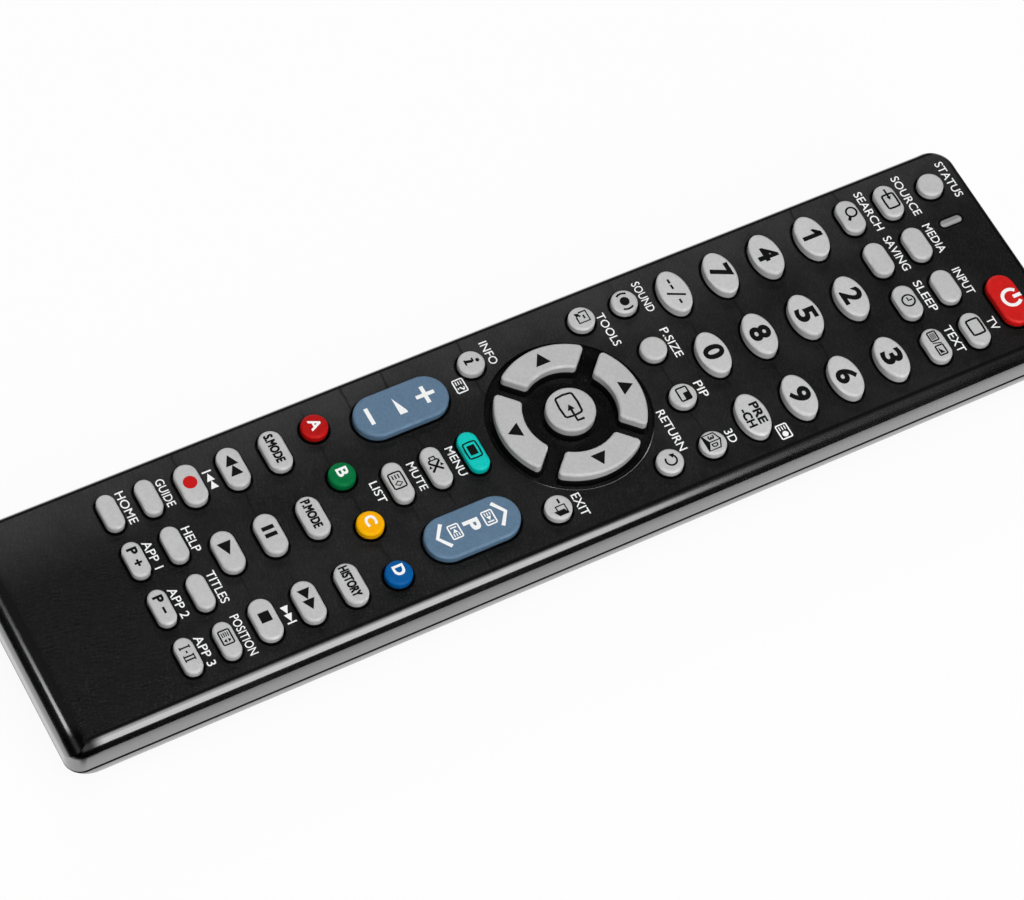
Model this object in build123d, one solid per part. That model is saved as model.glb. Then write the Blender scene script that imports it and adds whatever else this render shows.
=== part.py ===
from build123d import *
import os
from math import cos, radians, sin, sqrt

# Television remote control. Sizes are millimetres.
# +Y runs from the foot to the infra-red end, +X is to a reader's right and +Z rises out of the key face.
# The origin is the middle of the flat back.

# Case outline
case_length = 210.4
case_width = 49.5
case_wall = 1.6
foot_corner = 3.0
head_corner = 5.0
least_corner = 0.5
upper_depth = 8.0
shoulder_run = 1.9
shoulder_radius = 2.9
corner_land = 0.1
foot_roll = 5.0
end_lean = 25.0
corner_growth = 0.7
lower_steps = 6
seam_gap = 0.5
lip_height = 1.2
lip_thickness = 1.0
lip_root = 1.4
lip_gap = 0.1

# What stacks up between the back and the key face
door_thickness = 1.5
cell_diameter = 10.5
cell_under = 0.25
cell_over = 0.15
bay_wall = 0.85
board_gap = 0.3
board_thickness = 1.0
mat_thickness = 0.8
stop_gap = 0.1
key_travel = 1.0
flange_thickness = 0.7
flange_gap = 0.25

# Keys
key_rise = 1.7
number_lift = 0.35
ring_lift = 0.8
key_round = 0.55
hole_gap = 0.35
hole_round = 0.25
flange_lap = 0.55
plunger_radius = 1.5
plunger_gap = 0.3
plunger_end_gap = 0.05
round_key = 5.2
number_width = 9.6
number_height = 5.85
head_key_width = 7.6
head_key_height = 4.4
foot_key_width = 7.55
foot_key_height = 3.6
centre_key_width = 8.65
centre_key_height = 3.95
play_key_width = 8.7
play_key_height = 4.55
power_width = 11.5
power_height = 5.75
rocker_width = 9.0
rocker_length = 19.0
rocker_skirt = 6.0
rocker_plunger_pitch = 12.0
ring_outer = 14.4
ring_inner = 9.1
ring_spoke = 3.3
ring_corner = 0.8
enter_key = 9.5
recess_radius = 15.8
recess_depth = 0.6

# Columns, each as the distance from the case's side to its outermost key
head_margin_x = 8.67
power_margin_x = 11.8
lamp_margin_x = 16.95
number_margin_x = 9.75
colour_margin_x = 7.87
play_margin_x = 9.5
foot_margin_x = 8.7
rocker_margin_x = 10.65

# Rows. The first and last are set from the case's ends, and each step is from the row above.
# The steps outside the ring and rockers stretch together to fill the length that is left.
first_row_margin = 8.5
last_row_margin = 26.6
source_step = 9.6
search_step = 8.7
number_first_step = 9.5
number_step = 10.2
size_step = 9.75
tools_step = 9.25
ring_land = 2.0
ring_key_turn = 34.6975
menu_step = 8.6
mute_step = 7.7
list_step = 7.9
colour_step = 8.6
mode_step = 8.75
play_step = 8.55
guide_step = 8.0
last_step = 7.6

# Indicator window and infra-red end
lamp_width = 1.8
lamp_length = 4.8
lamp_recess = 0.12
lamp_gap = 0.1
lamp_lap = 0.7
lamp_flange = 0.8
lamp_chip = 0.5
window_width = 18.0
window_height = 4.4
window_lift = 0.4
window_gap = 0.08
window_lap = 0.8
window_flange = 0.7
led_diameter = 5.0
led_length = 8.5
led_rim = 0.4
led_front_gap = 0.5
led_wire = 0.5
led_wire_reach = 4.0
led_notch_gap = 0.6

# Board and mat
board_side_gap = 0.6
board_end_gap = 1.0
mat_side_gap = 0.8
rib_side_gap = 1.0
rib_thickness = 0.8

# Battery bay, door and contacts
cell_length = 44.5
cell_nub_radius = 1.9
cell_nub = 1.0
cell_edge = 0.4
cell_mid_gap = 0.3
cell_side_gap = 0.2
cell_end_gap = 0.05
spring_length = 6.2
spring_wire = 0.6
spring_turns = 4
spring_top_radius = 2.6
spring_foot_radius = 3.8
plate_thickness = 0.4
plate_width = 8.4
plate_height = 8.6
bay_foot_margin = 27.2
door_side_lap = 0.9
door_foot_lap = 2.6
door_head_lap = 4.0
door_gap = 0.2
door_face_gap = 0.1
shelf_thickness = 0.8
shelf_lap = 1.4
tab_x = 7.0
tab_width = 4.0
tab_reach = 2.2
tab_thickness = 0.75
tab_root = 1.1
tab_gap = 0.15
tab_slot_gap = 0.35
tab_swing_room = 0.9
latch_width = 8.0
latch_leg = 0.8
latch_height = 4.5
latch_depth = 3.0
latch_gap = 0.3
grip_radius = 6.0
grip_depth = 0.6
grip_offset = 5.0
groove_width = 0.8
groove_depth = 0.3
groove_length = 12.0
groove_pitch = 2.2
groove_count = 4
groove_margin = 6.0

# Board supports
post_radius = 1.6
post_x = 9.5
post_head_margin = 22.0
post_pitch = 46.0
post_count = 3
pad_radius = 2.0

# What the board carries
chip_length = 18.0
chip_width = 7.5
chip_height = 2.2
chip_drop = 7.25
pin_pitch = 1.27
pin_count = 14
pin_width = 0.4
pin_reach = 1.2
pin_thickness = 0.5
crystal_length = 10.6
crystal_width = 4.6
crystal_height = 3.4
crystal_drop = 17.5
can_radius = 2.5
can_length = 7.0
can_x = 14.0
resistor_length = 2.0
resistor_width = 1.2
resistor_height = 0.5
resistor_x = -17.0
resistor_pitch = 2.2
resistor_count = 4

# Heights that follow from the stack
cell_z = door_thickness + cell_under + cell_diameter / 2
bay_ceiling = door_thickness + cell_under + cell_diameter + cell_over
bay_top = bay_ceiling + bay_wall
board_bottom = bay_top + board_gap
board_top = board_bottom + board_thickness
mat_top = board_top + mat_thickness
flange_bottom = mat_top + stop_gap + key_travel
flange_top = flange_bottom + flange_thickness
cover_inside = flange_top + flange_gap
face_z = cover_inside + case_wall
key_top = face_z + key_rise
recess_z = face_z - recess_depth
plunger_end = board_top + key_travel + plunger_end_gap
seam_z = face_z - upper_depth
shell_edge = seam_z - seam_gap
end_radius = seam_z / (1 - sin(radians(end_lean)))

# Rows and columns that follow from the steps
row_first = case_length / 2 - first_row_margin
row_last = last_row_margin - case_length / 2
head_steps = source_step + search_step + number_first_step + 3 * number_step + size_step + tools_step
foot_steps = mode_step + 2 * play_step + guide_step + last_step
ring_key_distance = recess_radius + ring_land + hole_gap + round_key / 2
middle_x = ring_key_distance * cos(radians(ring_key_turn))
ring_step = ring_key_distance * sin(radians(ring_key_turn))
middle_steps = 2 * ring_step + menu_step + mute_step + list_step + colour_step
stretch = (row_first - row_last - middle_steps) / (head_steps + foot_steps)
number_pitch = stretch * number_step
play_pitch = stretch * play_step
row_source = row_first - stretch * source_step
row_search = row_source - stretch * search_step
row_number = row_search - stretch * number_first_step
row_size = row_number - 3 * number_pitch - stretch * size_step
row_tools = row_size - stretch * tools_step
row_ring = row_tools - ring_step
row_info = row_ring - ring_step
row_menu = row_info - menu_step
row_mute = row_menu - mute_step
row_list = row_mute - list_step
row_colour = row_list - colour_step
row_mode = row_colour - stretch * mode_step
row_play = row_mode - play_pitch
row_guide = row_play - play_pitch - stretch * guide_step
head_x = case_width / 2 - head_margin_x
power_x = case_width / 2 - power_margin_x
lamp_x = lamp_margin_x - case_width / 2
number_x = case_width / 2 - number_margin_x
colour_x = case_width / 2 - colour_margin_x
play_x = case_width / 2 - play_margin_x
foot_x = case_width / 2 - foot_margin_x
rocker_x = case_width / 2 - rocker_margin_x

# Keys that stand higher than the rest, and their places in the rows and round the ring
number_names = (
    ("number_1", "number_2", "number_3"),
    ("number_4", "number_5", "number_6"),
    ("number_7", "number_8", "number_9"),
    ("dash_key", "number_0", "previous_key"),
)
ring_names = ("up_key", "left_key", "down_key", "right_key")

# Battery bay places
cell_x = (cell_diameter + cell_mid_gap) / 2
bay_half = cell_x + cell_diameter / 2 + cell_side_gap
bay_length = cell_length + spring_length + 2 * plate_thickness + 2 * cell_end_gap
bay_foot = -case_length / 2 + bay_foot_margin
bay_head = bay_foot + bay_length
door_half = bay_half + bay_wall + door_side_lap
door_foot = bay_foot - bay_wall - door_foot_lap
door_head = bay_head + bay_wall + door_head_lap


def slab(x_low, x_high, y_low, y_high, z_low, z_high):
    """A box given by its limits."""
    size = (x_high - x_low, y_high - y_low, z_high - z_low)
    return Pos((x_low + x_high) / 2, (y_low + y_high) / 2, (z_low + z_high) / 2) * Box(*size)


def case_outline(side_inset, end_inset, corner_change):
    """The case seen from above, drawn in from its sides and ends, with corners that fit that width."""
    sheet = Rectangle(case_width - 2 * side_inset, case_length - 2 * end_inset)
    most = case_width / 2 - side_inset - corner_land
    foot = min(max(foot_corner + corner_change, least_corner), most)
    head = min(max(head_corner + corner_change, least_corner), most)
    sheet = fillet(sheet.vertices().group_by(Axis.Y)[0], foot)
    return fillet(sheet.vertices().group_by(Axis.Y)[-1], head)


def outline_band(inset, z_low, z_high):
    """An upright block of the case's outline, drawn in by one inset all round."""
    return Pos(0, 0, z_low) * extrude(case_outline(inset, inset, -inset), z_high - z_low)


def side_view_block(inset):
    """A long block with the case's side view: a level face that rolls down at the foot."""
    foot = -case_length / 2 + inset
    head = case_length / 2
    top = face_z - inset
    base = seam_z - case_wall
    sheet = Pos((foot + head) / 2, (base + top) / 2) * Rectangle(head - foot, top - base)
    foot_edge = sheet.vertices().sort_by(Axis.X)[:2].sort_by(Axis.Y)[-1]
    sheet = fillet(foot_edge, foot_roll - inset)
    return extrude(Plane.YZ * sheet, case_width, both=True)


def upper_block(inset):
    """The upper half of the case as a solid, with its creased shoulder where it isn't drawn in."""
    if inset > 0:
        return outline_band(inset, seam_z, face_z - inset) & side_view_block(inset)
    radius = min(shoulder_radius, foot_corner - corner_land)
    rise = sqrt(radius**2 - (radius - shoulder_run) ** 2)
    block = outline_band(0, seam_z, face_z - rise + radius)
    block = fillet(block.faces().sort_by(Axis.Z)[-1].edges(), radius)
    return block & side_view_block(0)


def lower_block(inset):
    """The lower half of the case as a solid: round sides, and ends that lean in under the seam."""
    sections = []
    radius = seam_z - inset
    reach = end_radius * cos(radians(end_lean))
    for step in range(lower_steps + 1):
        turn = radians(90 * step / lower_steps)
        z = seam_z - radius * sin(turn)
        side = inset + radius * (1 - cos(turn))
        end = reach - sqrt(max(0.0, (end_radius - inset) ** 2 - (end_radius - z) ** 2))
        growth = corner_growth * radius * (1 - cos(turn))
        sections.append(Pos(0, 0, z) * case_outline(side, end, growth - inset))
    return loft(sections)


def bay_slab(side, foot, head, z_low, z_high):
    """A box round the battery bay, given by how far it stands out from the bay."""
    return slab(-bay_half - side, bay_half + side, bay_foot - foot, bay_head + head, z_low, z_high)


def door_slab(grow, z_low, z_high):
    """A box of the battery door's outline."""
    half = door_half + grow
    return slab(-half, half, door_foot - grow, door_head + grow, z_low, z_high)


def tab_slab(side, grow, y_low, y_high, z_low, z_high):
    """A box as wide as one of the door's tabs."""
    half = tab_width / 2 + grow
    return slab(side * tab_x - half, side * tab_x + half, y_low, y_high, z_low, z_high)


def circle_at(x, y, radius):
    return Pos(x, y) * Circle(radius)


def place(shape, x, y):
    """A key's outline as a function of how far it is grown."""
    return lambda grow: Pos(x, y) * shape(grow)


def oval(grow):
    return Ellipse(number_width / 2 + grow, number_height / 2 + grow)


def dot(grow):
    return Circle(round_key / 2 + grow)


def enter_dot(grow):
    return Circle(enter_key / 2 + grow)


def pill(width, height):
    return lambda grow: SlotOverall(width + 2 * grow, height + 2 * grow)


def rocker_outline(grow):
    return SlotOverall(rocker_length + 2 * grow, rocker_width + 2 * grow, rotation=90)


def ring_segment(turn):
    """One arrow key: a quarter of a ring, cut off parallel to the diagonals."""

    def shape(grow):
        offset = (ring_spoke / 2 - grow) * sqrt(2)
        reach = 2 * ring_outer
        wedge = Polygon((0, offset), (reach, reach + offset), (-reach, reach + offset), align=None)
        sector = (Circle(ring_outer + grow) - Circle(ring_inner - grow)) & wedge
        return Rot(0, 0, turn) * fillet(sector.vertices(), ring_corner + grow)

    return shape


def row_of(shape, count, outer_x, y):
    """Outlines of a row of keys, evenly spaced between its two outermost ones."""
    pitch = 2 * outer_x / (count - 1)
    return [place(shape, -outer_x + pitch * index, y) for index in range(count)]


def key_lift(name):
    """How much higher than the small keys a number key or a key of the ring stands."""
    if name in ring_names or name == "enter_key":
        return ring_lift
    if any(name in names for names in number_names):
        return number_lift
    return 0


def key_solid(outline, lift, skirt=None):
    """A key: a cap through the case, a skirt under it and a plunger for its contact."""
    cap = Pos(0, 0, flange_bottom) * extrude(outline(0), key_top + lift - flange_bottom)
    cap = fillet(cap.faces().sort_by(Axis.Z)[-1].edges(), key_round)
    skirt_block = Pos(0, 0, flange_bottom) * extrude(outline(hole_gap + flange_lap), flange_thickness)
    if skirt is not None:
        skirt_block &= skirt
    body = cap + skirt_block
    for x, y in plunger_spots(outline):
        plunger = extrude(circle_at(x, y, plunger_radius), flange_bottom - plunger_end)
        body += Pos(0, 0, plunger_end) * plunger
    return body


def plunger_spots(outline):
    """Where the plungers of a key stand: one in the middle, or two under a rocker."""
    sheet = outline(0)
    box = sheet.bounding_box()
    if box.size.Y > rocker_length - key_round:
        middle = box.center()
        half = rocker_plunger_pitch / 2
        return [(middle.X, middle.Y - half), (middle.X, middle.Y + half)]
    spot = sheet.center()
    return [(spot.X, spot.Y)]


def make_key_outlines():
    """Every key node with the outlines of the keys in it."""
    head_pill = pill(head_key_width, head_key_height)
    foot_pill = pill(foot_key_width, foot_key_height)
    centre_pill = pill(centre_key_width, centre_key_height)
    play_pill = pill(play_key_width, play_key_height)
    keys = {
        "power_key": [place(pill(power_width, power_height), power_x, row_first)],
        "status_key": [place(dot, -head_x, row_first)],
        "source_row_keys": row_of(head_pill, 4, head_x, row_source),
        "search_row_keys": row_of(head_pill, 4, head_x, row_search),
        "guide_row_keys": row_of(foot_pill, 4, foot_x, row_guide),
        "last_row_keys": row_of(foot_pill, 4, foot_x, row_last),
        "enter_key": [place(enter_dot, 0, row_ring)],
        "menu_key": [place(centre_pill, 0, row_menu)],
        "mute_key": [place(centre_pill, 0, row_mute)],
        "list_key": [place(centre_pill, 0, row_list)],
        "volume_rocker": [place(rocker_outline, -rocker_x, row_mute)],
        "channel_rocker": [place(rocker_outline, rocker_x, row_mute)],
    }
    for line, names in enumerate(number_names):
        keys |= name_row(names, row_of(oval, 3, number_x, row_number - line * number_pitch))
    size_names = ("sound_key", "size_key", "inset_key", "depth_key")
    keys |= name_row(size_names, row_of(dot, 4, middle_x, row_size))
    keys |= name_row(("tools_key", "return_key"), row_of(dot, 2, middle_x, row_tools))
    keys |= name_row(("info_key", "exit_key"), row_of(dot, 2, middle_x, row_info))
    keys |= name_row(("key_a", "key_b", "key_c", "key_d"), row_of(dot, 4, colour_x, row_colour))
    play_names = (
        ("sound_mode_key", "picture_mode_key", "history_key"),
        ("rewind_key", "pause_key", "forward_key"),
        ("record_key", "play_key", "stop_key"),
    )
    for line, names in enumerate(play_names):
        keys |= name_row(names, row_of(play_pill, 3, play_x, row_mode - line * play_pitch))
    for index, name in enumerate(ring_names):
        keys[name] = [place(ring_segment(90 * index), 0, row_ring)]
    return keys


def name_row(names, outlines):
    return {name: [outline] for name, outline in zip(names, outlines)}


def make_key(name, outlines):
    """The solids of one key node, kept apart where the node holds a row of keys."""
    skirt = None
    if "rocker" in name:
        half = rocker_skirt / 2
        skirt = slab(-case_width, case_width, row_mute - half, row_mute + half, 0, key_top)
    solids = [key_solid(outline, key_lift(name), skirt) for outline in outlines]
    return solids[0] if len(solids) == 1 else Compound(children=solids)


def lamp_sheet(grow):
    return Pos(lamp_x, row_first) * SlotOverall(lamp_length + 2 * grow, lamp_width + 2 * grow, rotation=90)


def window_slab(grow, y_low, y_high):
    half = window_width / 2 + grow
    z_low = seam_z + window_lift
    return slab(-half, half, y_low, y_high, z_low - grow, z_low + window_height + grow)


def make_top_cover(keys):
    """The upper shell with its key holes, ring recess, lamp slot, end window and clamping rib."""
    cover = upper_block(0) - upper_block(case_wall)
    rib_inset = case_wall + rib_side_gap
    rib = outline_band(rib_inset, mat_top, cover_inside)
    rib -= outline_band(rib_inset + rib_thickness, mat_top, cover_inside)
    cover += rib & upper_block(0)
    cover -= led_block(led_notch_gap)
    cover -= Pos(0, 0, recess_z) * extrude(circle_at(0, row_ring, recess_radius), face_z)
    holes = [outline(hole_gap) for outlines in keys.values() for outline in outlines]
    holes.append(lamp_sheet(lamp_gap))
    for hole in holes:
        cover -= Pos(0, 0, cover_inside - case_wall / 4) * extrude(hole, key_top - cover_inside)
    cover = round_rims(cover)
    end = case_length / 2
    cover -= window_slab(window_gap, end - 2 * case_wall, end + case_wall)
    return cover


def round_rims(cover):
    """The cover with soft edges where its face drops into a hole or into the ring's recess."""
    edges = []
    for level in (face_z, recess_z):
        for face in cover.faces().filter_by(GeomType.PLANE):
            box = face.bounding_box()
            if abs(box.min.Z - level) < 1e-4 and abs(box.max.Z - level) < 1e-4:
                for wire in face.inner_wires():
                    edges.extend(wire.edges())
    return fillet(edges, hole_round)


def make_bottom_cover():
    """The lower shell with its lip, battery bay, door opening and board supports."""
    shell = lower_block(0) - lower_block(case_wall)
    reach = slab(-case_width, case_width, -case_length, case_length, -case_wall, shell_edge)
    shell &= reach
    root = outline_band(case_wall - lip_gap, shell_edge - lip_root, shell_edge)
    lip_inset = case_wall + lip_gap
    lip = outline_band(lip_inset, shell_edge - lip_root, seam_z + lip_height)
    core = outline_band(lip_inset + lip_thickness, shell_edge - lip_root, seam_z + lip_height)
    shell += (root + lip) - core
    head = case_length / 2
    shell -= window_slab(window_lap + lip_gap, head - 2 * case_wall - lip_thickness, head - case_wall / 2)
    shell -= led_block(led_notch_gap / 2)
    shell -= door_slab(door_gap, -case_wall, case_wall)
    shelf_grow = door_gap + shelf_lap
    shelf = door_slab(shelf_grow, case_wall, case_wall + shelf_thickness) & lower_block(0)
    shell += shelf + bay_slab(bay_wall, bay_wall, bay_wall, case_wall, bay_top)
    shell -= bay_slab(0, 0, 0, 0, bay_ceiling)
    for side in (-1, 1):
        y_low = door_foot - tab_reach - tab_swing_room
        y_high = bay_foot - bay_wall
        z_high = case_wall + shelf_thickness
        shell -= tab_slab(side, tab_slot_gap, y_low, y_high, case_wall, z_high)
    latch_half = latch_width / 2 + latch_gap
    latch_top = case_wall + shelf_thickness
    shell -= slab(-latch_half, latch_half, bay_head + bay_wall, door_head + door_gap, 0, latch_top)
    shell -= Pos(0, door_head + grip_offset, 0) * Cylinder(grip_radius, 2 * grip_depth)
    for index in range(post_count):
        y = case_length / 2 - post_head_margin - index * post_pitch
        for side in (-1, 1):
            post = extrude(circle_at(side * post_x, y, post_radius), board_bottom - case_wall / 2)
            shell += Pos(0, 0, case_wall / 2) * post
    for y in (bay_foot + bay_length / 4, bay_head - bay_length / 4):
        for side in (-1, 1):
            pad = extrude(circle_at(side * cell_x, y, pad_radius), board_bottom - bay_top)
            shell += Pos(0, 0, bay_top) * pad
    return shell


def make_battery_door():
    """The door in the back, with two tabs that it swings on and a springy latch."""
    door = door_slab(0, 0, door_thickness) & lower_block(0)
    tab_low = case_wall + tab_gap
    tab_high = tab_low + tab_thickness
    root_low = door_foot + tab_gap
    for side in (-1, 1):
        door += tab_slab(side, 0, root_low, root_low + tab_root, door_thickness, tab_high)
        door += tab_slab(side, 0, door_foot - tab_reach, root_low + tab_root, tab_low, tab_high)
    half = latch_width / 2
    near = door_head - tab_gap
    far = near - latch_depth
    top = door_thickness + latch_height
    door += slab(-half, half, far, far + latch_leg, door_thickness, top)
    door += slab(-half, half, far, near, top - latch_leg, top)
    door += slab(-half, half, near - latch_leg, near, door_thickness + latch_gap, top)
    for index in range(groove_count):
        y = door_head - groove_margin - index * groove_pitch
        half = groove_length / 2
        door -= slab(-half, half, y - groove_width / 2, y + groove_width / 2, -groove_depth, groove_depth)
    return door


def board_sheet(side_gap):
    """The outline shared by the board and the mat, notched for the infra-red lamp."""
    inset = case_wall + side_gap
    half = case_width / 2 - inset
    foot = -case_length / 2 + inset
    head = case_length / 2 - inset - board_end_gap
    sheet = Pos(0, (foot + head) / 2) * Rectangle(2 * half, head - foot)
    notch_half = led_diameter / 2 + led_rim + led_notch_gap
    notch_low = led_base() - led_notch_gap
    return sheet - Pos(0, (notch_low + head) / 2) * Rectangle(2 * notch_half, head - notch_low)


def led_base():
    """Where the back of the infra-red lamp lies."""
    front = case_length / 2 - case_wall - lip_gap - lip_thickness - window_flange - led_front_gap
    return front - led_length


def led_axis():
    return board_bottom - led_wire / 2 - cell_end_gap


def led_block(grow):
    """The room that the infra-red lamp takes up."""
    half = led_diameter / 2 + led_rim + grow
    front = led_base() + led_length
    return slab(-half, half, led_base() - grow, front + grow, led_axis() - half, led_axis() + half)


def make_circuit_board():
    board = extrude(board_sheet(board_side_gap), board_thickness)
    return Pos(0, 0, board_bottom) * board


def make_keymat(keys):
    """The rubber sheet on the board, with a hole for each plunger and one for the lamp."""
    sheet = board_sheet(mat_side_gap)
    for outlines in keys.values():
        for outline in outlines:
            for x, y in plunger_spots(outline):
                sheet -= circle_at(x, y, plunger_radius + plunger_gap)
    sheet -= lamp_sheet(lamp_lap)
    return Pos(0, 0, board_top) * extrude(sheet, mat_thickness)


def make_board_components():
    """The chip, crystal, capacitor and resistors under the board, and the lamp chip on top of it."""
    chip_y = row_search - chip_drop
    half_width = chip_width / 2
    parts = [Pos(0, chip_y, board_bottom - chip_height / 2) * Box(chip_length, chip_width, chip_height)]
    pin = Box(pin_width, pin_reach, pin_thickness)
    for index in range(pin_count):
        x = (index - (pin_count - 1) / 2) * pin_pitch
        for side in (-1, 1):
            y = chip_y + side * (half_width + pin_reach / 2)
            parts.append(Pos(x, y, board_bottom - pin_thickness / 2) * pin)
    crystal = extrude(SlotOverall(crystal_length, crystal_width), crystal_height)
    parts.append(Pos(0, row_search - crystal_drop, board_bottom - crystal_height) * crystal)
    can = Rot(90, 0, 0) * Cylinder(can_radius, can_length)
    parts.append(Pos(can_x, chip_y, board_bottom - can_radius) * can)
    resistor = Box(resistor_width, resistor_length, resistor_height)
    for index in range(resistor_count):
        x = resistor_x + resistor_pitch * index
        parts.append(Pos(x, chip_y, board_bottom - resistor_height / 2) * resistor)
    parts.append(Pos(lamp_x, row_first, board_top + lamp_chip / 2) * Box(lamp_width, lamp_width, lamp_chip))
    return Compound(children=parts)


def make_ir_led():
    """The infra-red lamp: a domed barrel with a rim and two wires under the board."""
    radius = led_diameter / 2
    base = led_base()
    barrel_length = led_length - radius
    barrel = Pos(0, base + barrel_length / 2, led_axis()) * Rot(90, 0, 0) * Cylinder(radius, barrel_length)
    dome = Pos(0, base + led_length - radius, led_axis()) * Sphere(radius)
    rim = Pos(0, base + led_rim, led_axis()) * Rot(90, 0, 0) * Cylinder(radius + led_rim, 2 * led_rim)
    led = barrel + dome + rim
    half = led_wire / 2
    for x in (-led_diameter / 4, led_diameter / 4):
        wire = slab(x - half, x + half, base - led_wire_reach, base + led_rim, -half, half)
        led += Pos(0, 0, led_axis()) * wire
    return led


def make_ir_window():
    """The dark window in the head end, held by a flange behind the wall."""
    end = case_length / 2
    pane = window_slab(0, end - case_wall, end)
    flange_back = end - case_wall - window_flange
    flange = window_slab(window_lap, flange_back, end - case_wall)
    flange &= slab(-case_width, case_width, flange_back, end, seam_z + window_lift, face_z)
    return pane + flange


def make_indicator_window():
    """The light pipe in the face, held by a flange under the cover."""
    low = board_top + lamp_chip + lamp_gap
    pipe = Pos(0, 0, low) * extrude(lamp_sheet(0), face_z - lamp_recess - low)
    flange = Pos(0, 0, cover_inside - lamp_flange) * extrude(lamp_sheet(lamp_lap), lamp_flange)
    return pipe + flange


def make_cell(side):
    """One cell. The two lie head to tail, so the left one's nub points to the head."""
    can_length = cell_length - cell_nub
    can = Rot(-90, 0, 0) * Cylinder(cell_diameter / 2, can_length)
    can = fillet(can.edges(), cell_edge)
    nub = Pos(0, can_length / 2 + cell_nub / 2, 0) * Rot(90, 0, 0) * Cylinder(cell_nub_radius, cell_nub)
    cell = Pos(0, -cell_nub / 2, 0) * (can + nub)
    middle = plate_thickness + cell_end_gap + cell_length / 2
    if side < 0:
        return Pos(-cell_x, bay_head - middle, cell_z) * cell
    return Pos(cell_x, bay_foot + middle, cell_z) * Rot(0, 0, 180) * cell


def make_spring(side):
    """A cone of wire between a cell's flat end and the plate behind it."""
    height = spring_length - spring_wire - cell_end_gap
    pitch = height / spring_turns
    cone = -degrees_of(spring_foot_radius - spring_top_radius, height)
    path = Helix(pitch, height, spring_foot_radius, cone_angle=cone)
    start = Plane(origin=path @ 0, z_dir=path % 0)
    coil = sweep(start * Circle(spring_wire / 2), path=path, is_frenet=True)
    lift = plate_thickness + spring_wire / 2
    if side < 0:
        return Pos(-cell_x, bay_foot + lift, cell_z) * Rot(-90, 0, 0) * coil
    return Pos(cell_x, bay_head - lift, cell_z) * Rot(90, 0, 0) * coil


def degrees_of(rise, run):
    return Vector(run, rise, 0).get_angle(Vector(1, 0, 0))


def make_battery_contacts():
    """Two springs, and four plates against the bay's end walls."""
    parts = [make_spring(-1), make_spring(1)]
    half = plate_width / 2
    for x in (-cell_x, cell_x):
        for y in (bay_foot, bay_head - plate_thickness):
            z_low = cell_z - plate_height / 2
            parts.append(slab(x - half, x + half, y, y + plate_thickness, z_low, z_low + plate_height))
    return Compound(children=parts)


def main():
    os.makedirs("parts", exist_ok=True)
    keys = make_key_outlines()
    nodes = {name: make_key(name, outlines) for name, outlines in keys.items()}
    nodes["top_cover"] = make_top_cover(keys)
    nodes["bottom_cover"] = make_bottom_cover()
    nodes["battery_door"] = make_battery_door()
    nodes["keymat"] = make_keymat(keys)
    nodes["circuit_board"] = make_circuit_board()
    nodes["board_components"] = make_board_components()
    nodes["ir_led"] = make_ir_led()
    nodes["ir_window"] = make_ir_window()
    nodes["indicator_window"] = make_indicator_window()
    nodes["batteries"] = Compound(children=[make_cell(-1), make_cell(1)])
    nodes["battery_contacts"] = make_battery_contacts()
    for name, shape in nodes.items():
        export_step(shape, f"parts/{name}.step")


main()
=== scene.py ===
"""A television remote control, dressed for its picture: finishes, printing, lights and camera."""
import math

import bmesh
import bpy
from mathutils import Matrix, Vector


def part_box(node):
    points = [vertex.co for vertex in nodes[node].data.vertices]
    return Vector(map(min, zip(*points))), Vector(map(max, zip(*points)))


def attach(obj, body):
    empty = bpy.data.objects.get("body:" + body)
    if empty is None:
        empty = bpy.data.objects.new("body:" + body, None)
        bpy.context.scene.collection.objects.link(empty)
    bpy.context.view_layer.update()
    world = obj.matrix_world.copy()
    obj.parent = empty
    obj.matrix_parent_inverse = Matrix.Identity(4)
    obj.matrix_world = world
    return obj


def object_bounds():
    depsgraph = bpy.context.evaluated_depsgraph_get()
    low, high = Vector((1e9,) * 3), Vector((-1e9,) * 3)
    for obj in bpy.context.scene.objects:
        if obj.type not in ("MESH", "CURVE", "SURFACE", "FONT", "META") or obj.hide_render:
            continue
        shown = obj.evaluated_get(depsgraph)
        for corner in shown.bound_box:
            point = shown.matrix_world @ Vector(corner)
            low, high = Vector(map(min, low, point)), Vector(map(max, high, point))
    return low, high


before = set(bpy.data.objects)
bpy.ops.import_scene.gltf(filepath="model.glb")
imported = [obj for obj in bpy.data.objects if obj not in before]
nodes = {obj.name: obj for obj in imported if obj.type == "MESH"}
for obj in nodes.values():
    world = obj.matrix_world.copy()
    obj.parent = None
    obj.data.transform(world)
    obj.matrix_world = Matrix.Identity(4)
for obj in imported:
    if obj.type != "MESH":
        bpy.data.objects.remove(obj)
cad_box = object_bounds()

MM = 0.001
scene = bpy.context.scene


# Heights and places of the remote's own parts, in millimetres

FACE_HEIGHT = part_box("top_cover")[1].z / MM
KEY_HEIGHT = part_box("sound_key")[1].z / MM
NUMBER_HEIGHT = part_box("number_5")[1].z / MM
ARROW_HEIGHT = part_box("up_key")[1].z / MM
HALF_WIDTH = cad_box[1].x / MM
HALF_LENGTH = cad_box[1].y / MM
SEAM_HEIGHT = 11.0
SHOULDER_HEIGHT = 17.0
FIELD_MIDDLE_Y = 2.0
FIELD_HALF_WIDTH = 22.4
FIELD_HALF_LENGTH = 99.0
CREASE_X = 22.5
FAR_CREASE_X = -23.35
CORNER_X = 24.0
CORNER_Y = 104.4
RING_CENTRE_Y = 7.47
RECESS_RADIUS = 15.8
RECESS_RIM_WIDTH = 0.35
KEY_ROWS = (78.4, 68.9, 58.7, 48.5, 38.3, 28.5, -4.3, -20.6, -28.6, -37.2, -54.4, -63.0)
WELD_WAVE = 3.2
WELD_HALF_WIDTH = 0.42
INDICATOR_WIDTH = 1.8
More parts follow.
